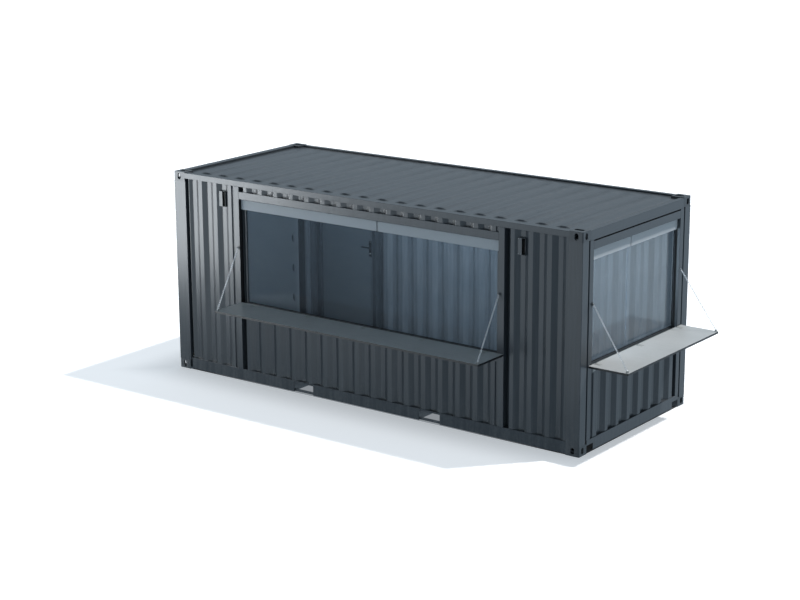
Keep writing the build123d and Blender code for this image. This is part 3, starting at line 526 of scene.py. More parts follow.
# the narrow strip of sheet over the long window, lit past the ledge in front of it
for n_, at_, to_, sz_, e_ in (("strip_left", P(-5180, -3250, 1960), P(-3180, -1170, 1960), (3.6, 2.8), 300),
                              ("strip_front", P(-1500, -4250, 1100), P(-1500, -1200, 1100), (6.4, 3.6), 90)):
    o = area(n_, at_, to_, sz_, e_, (0.93, 0.97, 1.0))
    o.light_linking.receiver_collection = strip_coll
    o.light_linking.blocker_collection = strip_coll
    o.visible_diffuse = False
area("room_right", P(1750, -800, 1450), P(1750, 1200, 1450), (2.0, 1.3), 46, (0.78, 0.90, 1.0))
area("room_left", P(-600, -450, 1500), P(-2200, 1600, 1450), (1.5, 1.1), 13, (0.84, 0.93, 1.0))


# ------------------------------------------------------------------ mesh helpers
class Build:
    """Collects faces in millimetres and makes one mesh object of them."""

    def __init__(self):
        self.v, self.f = [], []

    def add(self, verts, faces):
        k = len(self.v)
        self.v += [tuple(p) for p in verts]
        self.f += [tuple(k + i for i in f) for f in faces]

    def box(self, x0, x1, y0, y1, z0, z1, ch=0.0):
        x0, x1 = sorted((x0, x1))
        y0, y1 = sorted((y0, y1))
        z0, z1 = sorted((z0, z1))
        if ch <= 0:
            v = [(x, y, z) for z in (z0, z1) for y in (y0, y1) for x in (x0, x1)]
            self.add(v, [(0, 2, 3, 1), (4, 5, 7, 6), (0, 1, 5, 4), (2, 6, 7, 3), (0, 4, 6, 2), (1, 3, 7, 5)])
            return
        # chamfered box as a small bmesh
        bm = bmesh.new()
        bmesh.ops.create_cube(bm, size=1.0)
        for v in bm.verts:
            v.co = Vector(((x0 + x1) / 2 + v.co.x * (x1 - x0), (y0 + y1) / 2 + v.co.y * (y1 - y0),
                           (z0 + z1) / 2 + v.co.z * (z1 - z0)))
        bmesh.ops.bevel(bm, geom=bm.edges[:], offset=ch, segments=1, profile=0.5, affect="EDGES")
        bm.verts.index_update()
        self.add([v.co for v in bm.verts], [tuple(v.index for v in f.verts) for f in bm.faces])
        bm.free()

    def prism(self, centre, axis, r, length, n=6, r2=None, dome=0.0):
        """n-sided prism from centre along axis, with an optional domed end."""
        c, a = Vector(centre), Vector(axis).normalized()
        s = a.orthogonal().normalized()
        t = a.cross(s)
        r2 = r if r2 is None else r2
        rings = [(0, r), (length, r2)]
        if dome:
            rings += [(length + dome * 0.7, r2 * 0.72), (length + dome, r2 * 0.3)]
        v, f = [], []
        for d, rr in rings:
            for i in range(n):
                g = 2 * math.pi * i / n
                v.append(c + a * d + (s * math.cos(g) + t * math.sin(g)) * rr)
        for k in range(len(rings) - 1):
            for i in range(n):
                j = (i + 1) % n
                f.append((k * n + i, k * n + j, (k + 1) * n + j, (k + 1) * n + i))
        f.append(tuple(range(n))[::-1])
        f.append(tuple((len(rings) - 1) * n + i for i in range(n)))
        self.add(v, f)

    def tube(self, pts, r, n=6):
        """Round bar along a closed or open list of points (open)."""
        pts = [Vector(p) for p in pts]
        v, f = [], []
        prev = None
        for i, p in enumerate(pts):
            d = (pts[min(i + 1, len(pts) - 1)] - pts[max(i - 1, 0)]).normalized()
            s = d.orthogonal().normalized() if prev is None else (prev - d * prev.dot(d)).normalized()
            prev = s
            t = d.cross(s)
            v += [p + (s * math.cos(2 * math.pi * k / n) + t * math.sin(2 * math.pi * k / n)) * r for k in range(n)]
        for i in range(len(pts) - 1):
            for k in range(n):
                j = (k + 1) % n
                f.append((i * n + k, i * n + j, (i + 1) * n + j, (i + 1) * n + k))
        f.append(tuple(range(n))[::-1])
        f.append(tuple((len(pts) - 1) * n + k for k in range(n)))
        self.add(v, f)

    def make(self, name, body, mat, slot=None, replaces=(), smooth=0.0, place=True):
        me = bpy.data.meshes.new(name)
        vs = [P(*p) for p in self.v] if place else self.v
        me.from_pydata(vs, [], self.f)
        me.validate()
        me.update()
        bm = bmesh.new()
        bm.from_mesh(me)
        bmesh.ops.recalc_face_normals(bm, faces=bm.faces[:])
        bm.to_mesh(me)
        bm.free()
        if smooth:
            me.shade_smooth()
            me.set_sharp_from_angle(angle=math.radians(smooth))
        return finish(name, me, body, mat, replaces)


def finish(name, me, body, mat, replaces=()):
    o = bpy.data.objects.new(name, me)
    me.materials.append(M[mat])
    scene.collection.objects.link(o)
    if mat not in ("rubber", "zinc"):
        if name == "front_wall_over_window_sheet":
            strip_coll.objects.link(o)
        else:
            front_coll.objects.link(o)
            if name not in ("front_wall_under_window_sheet", "front_wall_right_sheet"):
                left_coll.objects.link(o)
    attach(o, body)
    if replaces:
        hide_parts(*replaces)
    return o


def rounded(pts, r, seg=4):
    """Polyline with its corners turned into arcs."""
    pts = [Vector((p[0], p[1])) for p in pts]
    out = [pts[0]]
    for a, b_, c in zip(pts, pts[1:], pts[2:]):
        u, w = (a - b_), (c - b_)
        lu, lw = u.length, w.length
        u, w = u.normalized(), w.normalized()
        ang = math.acos(max(-1, min(1, u.dot(w))))
        if ang > math.radians(176):
            out.append(b_)
            continue
        t = min(r / math.tan(ang / 2), 0.48 * lu, 0.48 * lw)
        rr = t * math.tan(ang / 2)
        mid = (u + w).normalized()
        cen = b_ + mid * (rr / math.sin(ang / 2))
        s0, s1 = b_ + u * t - cen, b_ + w * t - cen
        turn = math.atan2(s0.x * s1.y - s0.y * s1.x, s0.dot(s1))
        for i in range(seg + 1):
            g = turn * i / seg
            out.append(cen + Vector((s0.x * math.cos(g) - s0.y * math.sin(g), s0.x * math.sin(g) + s0.y * math.cos(g))))
    out.append(pts[-1])
    return [(p.x, p.y) for p in out]


# ------------------------------------------------------------------ wall sheets
PITCH, FLUTE, FLAT, SLOPE, WALL_IN = 247.4, 36.0, 61.7, 62.0, 8.0
WAVE0 = XL + 431.0
CH_D, CH_S = 90.0, 24.0
xa = mm("front_wall_left")
xb = mm("front_wall_right")
xu = mm("front_wall_under_window")
xo = mm("front_wall_over_window")
ye = mm("end_wall_under_window")
bl, bm_, bo = mm("back_wall_left"), mm("back_wall_main"), mm("back_wall_over_door")
BEND = 13.0


def wave(u0, u1, c0=WAVE0):
    lo, hi = WALL_IN, WALL_IN + FLUTE
    k0, k1 = math.floor((u0 - c0) / PITCH) - 1, math.ceil((u1 - c0) / PITCH) + 1
    nodes = []
    for k in range(k0, k1 + 1):
        c = c0 + k * PITCH
        nodes += [(c - FLAT / 2, lo), (c + FLAT / 2, lo), (c + FLAT / 2 + SLOPE, hi), (c + PITCH - FLAT / 2 - SLOPE, hi)]

    def at(u):
        for a, b_ in zip(nodes, nodes[1:]):
            if a[0] <= u <= b_[0]:
                f = (u - a[0]) / (b_[0] - a[0]) if b_[0] > a[0] else 0
                return a[1] + f * (b_[1] - a[1])
        return lo
    inner = [p for p in nodes if u0 + 4 < p[0] < u1 - 4]
    return [(u0, at(u0))] + inner + [(u1, at(u1))]


def wall(name, prof, side, z0, z1, node, holes=()):
    """Folded sheet along a profile (u along the wall, v inwards), 2 mm thick, with rounded bends."""
    pts = rounded(prof, BEND)
    cuts = sorted({u for h in holes for u in h[:2]})
    full = []
    for a, b_ in zip(pts, pts[1:]):
        full.append(a)
        for c in cuts:
            if min(a[0], b_[0]) + 0.3 < c < max(a[0], b_[0]) - 0.3:
                f = (c - a[0]) / (b_[0] - a[0])
                full.append((c, a[1] + f * (b_[1] - a[1])))
    full.append(pts[-1])
    zs = sorted({z0, z1} | {z for h in holes for z in h[2:]})

    def at(u, v, z):
        if side == "front":
            return P(u, YF + v, z)
        if side == "back":
            return P(u, YB - v, z)
        return P(XR - v, u, z)
    verts = [at(u, v, z) for z in zs for u, v in full]
    n = len(full)
    faces = []
    for i in range(len(zs) - 1):
        for j in range(n - 1):
            uc, zc = (full[j][0] + full[j + 1][0]) / 2, (zs[i] + zs[i + 1]) / 2
            if any(h[0] - 0.2 < uc < h[1] + 0.2 and h[2] < zc < h[3] for h in holes):
                continue
            q = (i * n + j, i * n + j + 1, (i + 1) * n + j + 1, (i + 1) * n + j)
            faces.append(q if side != "back" else q[::-1])
    me = bpy.data.meshes.new(name)
    me.from_pydata(verts, [], faces)
    bm = bmesh.new()
    bm.from_mesh(me)
    bmesh.ops.delete(bm, geom=[v for v in bm.verts if not v.link_faces], context="VERTS")
    bm.to_mesh(me)
    bm.free()
    me.shade_smooth()
    me.set_sharp_from_angle(angle=math.radians(38))
    o = finish(name, me, "cabin", "paint", (node,))
    me.materials.append(M["inside"])
    s = o.modifiers.new("thickness", "SOLIDIFY")
    s.thickness, s.offset, s.material_offset = 0.002, -1.0, 1
    # flats shade flat, and the bends take the turn
    n = o.modifiers.new("normals", "WEIGHTED_NORMAL")
    n.keep_sharp = True
    n.weight = 70
    return o


v0 = mm("wall_vents")
VZ0, VZ1 = v0[4] - 0.5, v0[5] + 0.5
VX = (v0[0] + 50.0, v0[1] - 50.0)
hole = [(x - 50.5, x + 50.5, VZ0, VZ1) for x in VX]
FR0, FR1 = mm("front_window_stiles")[0], mm("front_window_stiles")[1]
STILE = 80.0
EF0, EF1 = YF + 155.0, YB - 155.0
A_, AG = xa[0], xa[0] + 32.0
wl1, wu0 = WAVE0 + 2 * PITCH + FLAT / 2, WAVE0 + 3 * PITCH - FLAT / 2
wu1, wr0 = WAVE0 + 18 * PITCH + FLAT / 2, WAVE0 + 19 * PITCH - FLAT / 2
Z0, Z1 = xa[4], xa[5]
wall("front_wall_left_sheet", [(A_, CH_D), (AG, CH_D), (AG, WALL_IN)] + wave(AG, wl1)[1:] + [(wl1, CH_S), (FR0, CH_S)],
     "front", Z0, Z1, "front_wall_left", hole[:1])
wall("front_wall_right_sheet", [(FR1, CH_D), (wr0, CH_D)] + wave(wr0, xb[1]), "front", Z0, Z1,
     "front_wall_right", hole[1:])
under = [(FR0 + STILE, CH_D), (wu0, CH_D)] + wave(wu0, wu1) + [(wu1, CH_S), (FR1 - STILE, CH_S)]
wall("front_wall_under_window_sheet", under, "front", xu[4], xu[5], "front_wall_under_window")
wall("front_wall_over_window_sheet", under, "front", xo[4], xo[5], "front_wall_over_window")
ec1 = EF1 - STILE - 58
we = wave(-(3.5 * PITCH + FLAT / 2), 3.5 * PITCH + FLAT / 2, PITCH / 2)
we[0], we[-1] = (-ec1, WALL_IN), (ec1, WALL_IN)
wall("end_wall_sheet", [(EF0 + STILE, CH_S), (-ec1, CH_S)] + we + [(ec1, CH_D), (EF1 - STILE, CH_D)],
     "right", ye[4], ye[5], "end_wall_under_window")
BD0, BD1 = bo[0], bo[1]
wall("back_wall_left_sheet", [(A_, CH_D), (AG, CH_D), (AG, WALL_IN)] + wave(AG, BD0)[1:], "back", Z0, Z1, "back_wall_left")
wall("back_wall_main_sheet", wave(BD1, bm_[1]), "back", Z0, Z1, "back_wall_main")
wall("back_wall_over_door_sheet", wave(BD0, BD1), "back", bo[4], bo[5], "back_wall_over_door")


# ------------------------------------------------------------------ roof sheet
def roof():
    rp = mm("roof_panel")
    z, n, pitch, top, foot, h = 2562.0, 20, 279.0, 66.0, 186.0, 18.0
    prof = [(rp[0], 0.0)]
    for i in range(n):
        c = (i - (n - 1) / 2) * pitch
        prof += [(c - foot / 2, 0.0), (c - top / 2, h), (c + top / 2, h), (c + foot / 2, 0.0)]
    prof.append((rp[1], 0.0))
    pts = rounded(prof, 30.0, 4)
    xs = []
    for a, b_ in zip(pts, pts[1:]):
        xs.append(a)
        for c in (XL + 178.0, XR - 178.0):
            if a[0] + 0.5 < c < b_[0] - 0.5:
                xs.append((c, a[1] + (c - a[0]) / (b_[0] - a[0]) * (b_[1] - a[1])))
    xs.append(pts[-1])
    rows = [(rp[2], 0), (YF + 162, 0), (YF + 187, 0), (YF + 190, 0.25), (YF + 197, 0.85), (YF + 203, 1.0),
            (YB - 203, 1.0), (YB - 197, 0.85), (YB - 190, 0.25), (YB - 187, 0), (YB - 162, 0), (rp[3], 0)]
    verts = [P(x, y, z + hh * k) for y, k in rows for x, hh in xs]
    nx, faces = len(xs), []
    for i in range(len(rows) - 1):
        for j in range(nx - 1):
            xc, yc = (xs[j][0] + xs[j + 1][0]) / 2, (rows[i][0] + rows[i + 1][0]) / 2
            if (xc < XL + 178 or xc > XR - 178) and (yc < YF + 162 or yc > YB - 162):
                continue
            faces.append((i * nx + j, i * nx + j + 1, (i + 1) * nx + j + 1, (i + 1) * nx + j))
    me = bpy.data.meshes.new("roof_sheet")
    me.from_pydata(verts, [], faces)
    bm = bmesh.new()
    bm.from_mesh(me)
    bmesh.ops.delete(bm, geom=[v for v in bm.verts if not v.link_faces], context="VERTS")
    bm.to_mesh(me)
    bm.free()
    me.shade_smooth()
    me.set_sharp_from_angle(angle=math.radians(42))
    o = finish("roof_sheet", me, "cabin", "paint", ("roof_panel",))
    me.materials.append(M["inside"])
    s = o.modifiers.new("thickness", "SOLIDIFY")
    s.thickness, s.offset, s.material_offset = 0.002, -1.0, 1


roof()


# ------------------------------------------------------------------ chains
def chain(name):
    a = Vector(JOINT[name + "_anchor_pivot"]["pos_m"])
    e = Vector(JOINT[name + "_eye_pivot"]["pos_m"])
    d = e - a
    total = d.length
    u = d.normalized()
    pin = Vector((1, 0, 0)) if name.startswith("front") else Vector((0, 1, 0))
    s0 = (pin.cross(u)).normalized()          # across the pin
    s1 = u.cross(s0).normalized()
    pitch, wire, width = 0.0242, 0.0024, 0.0185
    start = pitch / 2 - 0.004
    n = round((total - 2 * start) / pitch)
    n += n % 2                                # so that both end links stand across their pins
    pitch = (total - 2 * start) / n
    half = {"upper": ([], []), "lower": ([], [])}
    lower_len = 0.300
    rc = width / 2 - wire
    hs = pitch / 2 + wire * 0.9 - rc
    for i in range(n + 1):
        at = a + u * (start + pitch * i)
        lat = s0 if i % 2 == 0 else s1
        out = u.cross(lat)
        key = "upper" if (start + pitch * (i - 0.55)) < total - lower_len else "lower"
        vs, fs = half[key]
        path = []
        for sgn in (1, -1):
            for k in range(7):
                g = -math.pi / 2 + math.pi * k / 6
                path.append((sgn * (hs + rc * math.cos(g)), sgn * rc * math.sin(g)))
        base = len(vs)
        m, ns = len(path), 7
        for k, (pu, pl) in enumerate(path):
            c = at + u * pu + lat * pl
            q, r_ = path[(k + 1) % m], path[k - 1]
            t = (u * (q[0] - r_[0]) + lat * (q[1] - r_[1])).normalized()
            nn = out.cross(t)
            for j in range(ns):
                g = 2 * math.pi * j / ns
                vs.append(c + (out * math.cos(g) + nn * math.sin(g)) * wire)
        for k in range(m):
            for j in range(ns):
                k2, j2 = (k + 1) % m, (j + 1) % ns
                fs.append((base + k * ns + j, base + k * ns + j2, base + k2 * ns + j2, base + k2 * ns + j))
    for key, (vs, fs) in half.items():
        me = bpy.data.meshes.new(name + "_" + key + "_links")
        me.from_pydata(vs, [], fs)
        bm = bmesh.new()
        bm.from_mesh(me)
        bmesh.ops.recalc_face_normals(bm, faces=bm.faces[:])
        bm.to_mesh(me)
        bm.free()
        me.shade_smooth()
        finish(me.name, me, name + "_" + key, "chain", (name + "_" + key,))


for c in ("front_chain_left", "front_chain_right", "end_chain_near", "end_chain_far"):
    chain(c)

# ------------------------------------------------------------------ window seals, and dark liners painted as shade
hd = mm("window_head_rails")
gz = mm("window_glass")
SILL1 = mm("front_window_bars")[4] + 76.0
BZ0, BZ1 = hd[4], hd[5]
fx0, fx1 = FR0 + STILE, FR1 - STILE
ey0, ey1 = EF0 + STILE, EF1 - STILE
b = Build()
# near-black liners on the window reveals: painted shade on the reveal faces
b.box(fx0 + 0.2, fx0 + 2.2, YF + 3, YF + 62, SILL1, BZ0 + 120, 0.5)
b.box(fx1 - 2.2, fx1 - 0.2, YF + 3, YF + 62, SILL1, BZ0 + 120, 0.5)
b.box(XR - 62, XR - 38, ey1 - 2.2, ey1 - 0.2, SILL1, BZ0 + 120, 0.5)
b.box(XR - 62, XR - 3, ey0 + 0.2, ey0 + 2.2, SILL1, BZ0 + 120, 0.5)
b.make("window_reveal_shade_liners", "cabin", "rubber", "track")
b = Build()
# near-black strips behind the sliding head rails and in the slots above and below them: painted shade in these gaps and
# grooves
b.box(fx0 + 1, fx1 - 1, YF + 93, YF + 95, BZ0 - 2, BZ1 + 10)
b.box(XR - 95, XR - 93, ey0 + 1, ey1 - 1, BZ0 - 2, BZ1 + 10)
b.box(fx0 + 1, fx1 - 1, YF + 52, YF + 92, BZ1 + 4, BZ1 + 10)
b.box(XR - 92, XR - 52, ey0 + 1, ey1 - 1, BZ1 + 4, BZ1 + 10)
b.box(XR - 54, XR - 50, ey0 + 1, ey1 - 1, 2450, 2464)
b.make("head_rail_shade_strips", "cabin", "rubber", "track")
b = Build()
# glazing seals: bottom and top of every pane, and the sides at the outer ends of each window
FS, ES = XL + 3205.0, YF + 1115.0
fa, fb = fx0 + 58.0, fx1 - 58.0
ea, eb = ey0 + 58.0, ey1 - 8.0
for a, c in ((fa, FS - 3), (FS + 3, fb)):
    b.box(a, c, YF + 71, YF + 77.6, gz[4] - 1, gz[4] + 9, 1.5)
    b.box(a, c, YF + 70, YF + 77.6, BZ0 - 9, BZ0, 1.5)
for a, c in ((ea, ES - 3), (ES + 3, eb)):
    b.box(XR - 77.6, XR - 71, a, c, gz[4] - 1, gz[4] + 9, 1.5)
    b.box(XR - 77.6, XR - 70, a, c, BZ0 - 9, BZ0, 1.5)
for x in (fa, fb - 3):
    b.box(x, x + 3, YF + 73, YF + 77.6, gz[4] + 9, BZ0 - 9, 1.0)
for y in (ea, eb - 7):
    b.box(XR - 77.6, XR - 72, y, y + 7, gz[4] + 9, BZ0 - 9, 1.5)
# brush strips on the front jamb
b.box(fx0 + 24, fx0 + 31, YF + 60, YF + 66, gz[4], BZ0 - 4, 1.0)
b.box(fx1 - 31, fx1 - 24, YF + 60, YF + 66, gz[4], BZ0 - 4, 1.0)
b.make("glazing_seals", "cabin", "rubber", "track")

# ------------------------------------------------------------------ vents
b, lou = Build(), Build()
for x in VX:
    # near-black liner in the open half, painted shade inside the vent, and the sloping blades
    b.box(x + 3.4, x + 46.6, YF + 43, YF + 44.6, VZ0 + 4, VZ1 - 4)
    b.box(x + 3.2, x + 4.4, YF + 12, YF + 44, VZ0 + 4, VZ1 - 4)
    b.box(x + 45.4, x + 46.8, YF + 12, YF + 44, VZ0 + 4, VZ1 - 4)
    zz = VZ0 + 16
    while zz < VZ1 - 14:
        y0_, y1_ = YF + 15, YF + 33
        v = [(x + 4.5, y0_, zz - 6), (x + 45.2, y0_, zz - 6), (x + 45.2, y1_, zz + 9), (x + 4.5, y1_, zz + 9),
             (x + 4.5, y0_, zz - 7.5), (x + 45.2, y0_, zz - 7.5), (x + 45.2, y1_, zz + 7.5), (x + 4.5, y1_, zz + 7.5)]
        lou.add(v, [(0, 1, 2, 3), (7, 6, 5, 4), (0, 4, 5, 1), (2, 6, 7, 3), (0, 3, 7, 4), (1, 5, 6, 2)])
        zz += 19.5
b.make("vent_shade_liners", "cabin", "rubber", "black_fitting")
lou.make("vent_blades", "cabin", "black_fitting", "black_fitting")

# ------------------------------------------------------------------ bolts and screws
bolts, screws, plates = Build(), Build(), Build()


def hexbolt(bd, p, axis, r=6.0, h=4.0):
    a = Vector(axis).normalized()
    bd.prism(p, a, r * 1.35, 0.9, 14)
    bd.prism(Vector(p) + a * 0.9, a, r, h, 6, r, 0.8)


def button(bd, p, axis, r=4.0, h=1.2):
    bd.prism(p, axis, r, h * 0.4, 12, r, h)


lg = mm("front_counter_hinge_lugs")
le = mm("end_counter_hinge_lugs")
CTZ = mm("front_counter_top")[5]
c0, c1 = mm("front_counter_top")[0], mm("front_counter_top")[1]
d0, d1 = mm("end_counter_top")[2], mm("end_counter_top")[3]
fst, est = Build(), Build()
for i in range(5):
    u = c0 + (c1 - c0) * (0.06 + 0.88 * i / 4)
    for du in (-19, 19):
        hexbolt(bolts, (u + du, YF - 4, 962), (0, -1, 0), 5.0, 3.5)
        hexbolt(bolts, (u + du, YF - 4, 992), (0, -1, 0), 5.0, 3.5)
        button(fst, (u + du * 0.85, YF - 58, CTZ + 3.5), (0, 0, 1), 4.0, 1.0)
        button(fst, (u + du * 0.85, YF - 84, CTZ + 3.5), (0, 0, 1), 4.0, 1.0)
for i in range(3):
    u = d0 + (d1 - d0) * (0.06 + 0.88 * i / 2)
    for du in (-19, 19):
        hexbolt(bolts, (XR + 4, u + du, 962), (1, 0, 0), 5.0, 3.5)
        hexbolt(bolts, (XR + 4, u + du, 992), (1, 0, 0), 5.0, 3.5)
        button(est, (XR + 58, u + du * 0.85, CTZ + 3.5), (0, 0, 1), 4.0, 1.0)
        button(est, (XR + 84, u + du * 0.85, CTZ + 3.5), (0, 0, 1), 4.0, 1.0)
for nm in ("front_chain_left", "front_chain_right", "end_chain_near", "end_chain_far"):
    a = Vector(JOINT[nm + "_anchor_pivot"]["pos_m"])
    ax_, ay_, az_ = (a.x - CXM) * 1000, (a.y - CYM) * 1000, a.z * 1000
    # the lower fixing is a flat head, because the chain hangs in front of it when the counter is up
    if nm.startswith("front"):
        hexbolt(plates, (ax_, YF - 3, az_ + 17), (0, -1, 0), 4.5, 3.0)
        button(plates, (ax_, YF - 3, az_ - 17), (0, -1, 0), 4.5, 0.6)
    else:
        hexbolt(plates, (XR + 3, ay_, az_ + 17), (1, 0, 0), 4.5, 3.0)
        button(plates, (XR + 3, ay_, az_ - 17), (1, 0, 0), 4.5, 0.6)
bolts.make("frame_bolts", "cabin", "strap", "zinc", smooth=30)
plates.make("chain_plate_bolts", "cabin", "lock_gear", "zinc", smooth=30)
fst.make("front_strap_screws", "front_counter", "strap", "zinc", smooth=30)
est.make("end_strap_screws", "end_counter", "strap", "zinc", smooth=30)
for x in VX:
    for dx in (-42, -10):
        for z in (VZ0 + 10, VZ1 - 10):
            button(screws, (x + dx, YF + 6, z), (0, -1, 0), 3.6, 1.4)
screws.make("vent_screws", "cabin", "zinc", "zinc", smooth=30)

# deck screws, along the cross members
dk = mm("floor_deck")
b = Build()
for i in range(18):
    x = XL + 330 + i * (6058.0 - 660) / 17
    for j in range(13):
        y = dk[2] + 60 + j * (dk[3] - dk[2] - 120) / 12
        b.prism((x + rnd.uniform(-4, 4), y + rnd.uniform(-5, 5), dk[5] - 0.2), (0, 0, 1), 5.5, 0.7, 8)
b.make("deck_screws", "cabin", "zinc", "zinc")


# ------------------------------------------------------------------ welds
def bead(bd, p, q, r=3.0, step=7.0):
    """Weld bead with ripples, from p to q."""
    p, q = Vector(p), Vector(q)
    d = q - p
    n = max(2, int(d.length / step))
    s = d.normalized().orthogonal().normalized()
    t = d.normalized().cross(s)
    v, f = [], []
    for i in range(n + 1):
        rr = r * (1.0 + 0.16 * math.sin(i * 2.4) + rnd.uniform(-0.06, 0.06))
        c = p + d * (i / n)
        v += [c + (s * math.cos(g) + t * math.sin(g)) * rr for g in (0, math.pi / 2, math.pi, 3 * math.pi / 2)]
    for i in range(n):
        for k in range(4):
            j = (k + 1) % 4
            f.append((i * 4 + k, i * 4 + j, i * 4 + 4 + j, i * 4 + 4 + k))
    f += [(3, 2, 1, 0), tuple(n * 4 + k for k in range(4))]
    bd.add(v, f)


b = Build()
bead(b, (FR0, YF + CH_S - 1, Z0), (FR0, YF + CH_S - 1, Z1), 3.2)
bead(b, (FR1 - STILE, YF + CH_S - 1, Z0), (FR1 - STILE, YF + CH_S - 1, xu[5]), 3.2)
bead(b, (XR - CH_S + 1, EF0 + STILE, Z0), (XR - CH_S + 1, EF0 + STILE, ye[5]), 3.2)
bead(b, (XR - 178, YF + 44, Z0), (XR - 178, YF + 44, Z1), 3.2)
for x_, s_ in ((XL + 178, -1), (XR - 178, 1)):
    for y_ in (YF + 2.0, YB - 2.0):
        bead(b, (x_, y_, 2511), (x_, y_, 2583), 3.4, 6)
        if s_ > 0:
            bead(b, (x_, y_, 18), (x_, y_, 116), 3.4, 6)
for x_, w_ in ((XL, 187.0), (XR, 178.0)):
    for y_ in (YF, YB):
        for z_ in (118.0, 2473.0):
            sgn = 1 if x_ < 0 else -1
            ys = 1 if y_ < 0 else -1
            bead(b, (x_ + sgn * 8, y_ + ys * 0.5, z_), (x_ + sgn * (min(w_, 178.0) - 3), y_ + ys * 0.5, z_), 2.6, 6)
            bead(b, (x_ + sgn * 0.5, y_ + ys * 8, z_), (x_ + sgn * 0.5, y_ + ys * 126, z_), 2.6, 6)
for x_ in (FR0 + STILE, FR1 - STILE):
    bead(b, (x_, YF + 0.5, 2357), (x_, YF + 0.5, 2447), 2.2, 6)
    bead(b, (x_, YF + 0.5, 932), (x_, YF + 0.5, 1004), 2.2, 6)
for y_ in (ey0, ey1):
    bead(b, (XR - 0.5, y_, 2357), (XR - 0.5, y_, 2447), 2.2, 6)
    bead(b, (XR - 0.5, y_, 932), (XR - 0.5, y_, 1004), 2.2, 6)
b.make("weld_beads", "cabin", "paint_cast", "paint", smooth=50)

# ------------------------------------------------------------------ back door
bdl = mm("back_door_leaf")
b = Build()
# compression seal between leaf and frame, inside face
x0_, x1_, z1_ = bdl[0], bdl[1], bdl[5]
yq = bdl[2]
b.box(x0_ - 3.4, x0_ - 0.6, yq + 4, yq + 16, bdl[4], z1_ + 3, 0.8)
b.box(x1_ + 0.6, x1_ + 3.4, yq + 4, yq + 16, bdl[4], z1_ + 3, 0.8)
b.make("back_door_seal", "cabin", "rubber", "black_fitting")
b = Build()
# lock cylinder roses and the screws of the handle plates
hx, hz = x1_ - 62.0, 1290.0
for yy, s in ((bdl[3] + 8, 1), (bdl[2] - 8, -1)):
    b.prism((hx, yy, hz - 62), (0, s, 0), 11, 3, 24, 9.5)
    b.box(hx - 2.2, hx + 2.2, yy + s * 3.0, yy + s * 3.6, hz - 68, hz - 56)
    for dz in (-98, 98):
        b.prism((hx, yy, hz + dz), (0, s, 0), 4.2, 1.0, 12, 3.8, 1.0)
b.make("back_door_lock_roses", "back_door", "zinc", "zinc", smooth=30)
b = Build()
for z in (420.0, 1190.0, 1960.0):
    for dx in (28, 56):
        for dz in (15, 45):
            hexbolt(b, (x0_ - 2 + dx, YB - 2, z + dz), (0, 1, 0), 4.5, 3.0)
b.make("back_door_hinge_bolts", "back_door", "zinc", "zinc", smooth=30)

# ------------------------------------------------------------------ cargo-door end
cd = mm("cargo_doors")
b = Build()
# rubber seals round each leaf: a lip on the outer face, and the meeting strips
for ya, yb in ((cd[2], -4.0), (4.0, cd[3])):
    for (p0, p1, q0, q1) in ((ya - 5, ya + 10, cd[4] - 4, cd[5] + 3), (yb - 10, yb + (3 if yb < 0 else 5), cd[4] - 4, cd[5] + 3)):
        b.box(cd[0] - 2.5, cd[0] - 0.2, p0, p1, q0, q1, 0.8)
    b.box(cd[0] - 2.5, cd[0] - 0.2, ya + 10, yb - 10, cd[4] - 4, cd[4] + 10, 0.8)
    b.box(cd[0] - 2.5, cd[0] - 0.2, ya + 10, yb - 10, cd[5] - 10, cd[5] + 3, 0.8)
b.make("cargo_door_seals", "cabin", "rubber", "black_fitting")
b = Build()
for y0_, y1_ in ((cd[2], -4.0), (4.0, cd[3])):
    for fr in (0.30, 0.76):
        y = y0_ + (y1_ - y0_) * (fr if y0_ < 0 else 1 - fr)
        for z in (420.0, 1010.0, 1690.0, 2210.0):
            for dy in (-17, 17):
                for dz in (-18, 18):
                    hexbolt(b, (XL + 12, y + dy, z + dz), (-1, 0, 0), 4.6, 3.0)
for sy in (-1, 1):
    yp = sy * (YB - 130 - 20)
    for z in (330.0, 860.0, 1460.0, 2080.0):
        for k in range(3):
            for dz in (-20, 20):
                hexbolt(b, (XL + 50, yp - sy * (60 + 45 * k), z + dz), (-1, 0, 0), 5.0, 3.2)
b.make("cargo_door_bolts", "cabin", "zinc", "zinc", smooth=30)

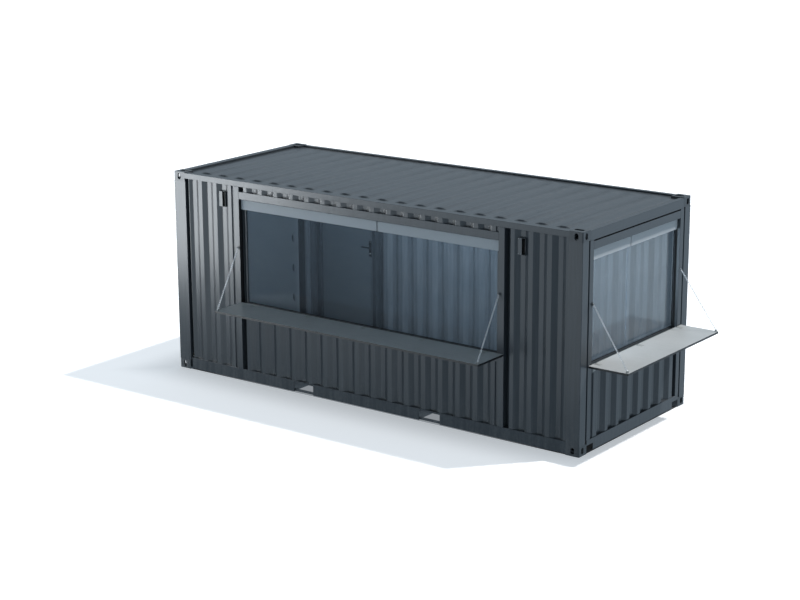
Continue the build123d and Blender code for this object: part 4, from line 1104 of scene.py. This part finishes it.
# ------------------------------------------------------------------ finish on the CAD nodes
slot_of = {s["node"]: s["material_slot"] for s in frame["record"]["subparts"]}
own = {"back_door_leaf": "door_paint", "cargo_doors": "cargo_paint", "bottom_corner_castings": "paint_cast", "top_corner_castings": "paint_cast",
       "front_counter_straps": "strap", "end_counter_straps": "strap",
       "front_counter_hinge_lugs": "strap", "end_counter_hinge_lugs": "strap",
       "chain_anchors": "lock_gear", "back_door_hinge_leaves": "lock_gear", "back_door_hinge_pintles": "lock_gear"}
BEVEL = {"corner_posts": 3.0, "top_side_rails": 3.0, "bottom_side_rails": 2.0, "bottom_end_rails": 2.0,
         "top_end_rails": 3.0, "front_window_stiles": 3.0, "front_window_bars": 3.0, "end_window_stiles": 3.0,
         "end_window_bars": 3.0, "window_head_rails": 2.5, "window_tracks": 1.0, "bottom_corner_castings": 4.0,
         "top_corner_castings": 4.0, "front_counter_top": 1.2, "end_counter_top": 1.2, "wall_vents": 1.2,
         "back_door_leaf": 1.5, "back_door_jambs": 2.5, "back_door_head": 2.5, "back_door_handles": 1.5,
         "cargo_doors": 3.0, "cargo_door_locking_bars": 2.0, "cargo_door_levers": 2.0, "cargo_door_hinges": 2.0,
         "front_counter_straps": 0.7, "end_counter_straps": 0.7, "front_counter_hinge_lugs": 0.7,
         "end_counter_hinge_lugs": 0.7, "chain_anchors": 0.7, "window_glass": 1.0,
         "back_door_hinge_leaves": 0.8, "back_door_hinge_pintles": 0.8, "fork_pockets": 0.8}
for name, o in N.items():
    o.data.materials.clear()
    o.data.materials.append(M[own.get(name, slot_of[name])])
    if name in glass_nodes:
        continue
    if name != "bottom_side_rails":
        front_coll.objects.link(o)
    left_coll.objects.link(o)
    if name in BEVEL:
        w = o.modifiers.new("weld", "WELD")
        w.merge_threshold = 0.00001
        v = o.modifiers.new("edges", "BEVEL")
        v.width, v.segments = BEVEL[name] / 1000, 2
        v.limit_method, v.angle_limit = "ANGLE", math.radians(50)
        v.harden_normals = False
        n = o.modifiers.new("normals", "WEIGHTED_NORMAL")
        n.keep_sharp = False
        n.weight = 80
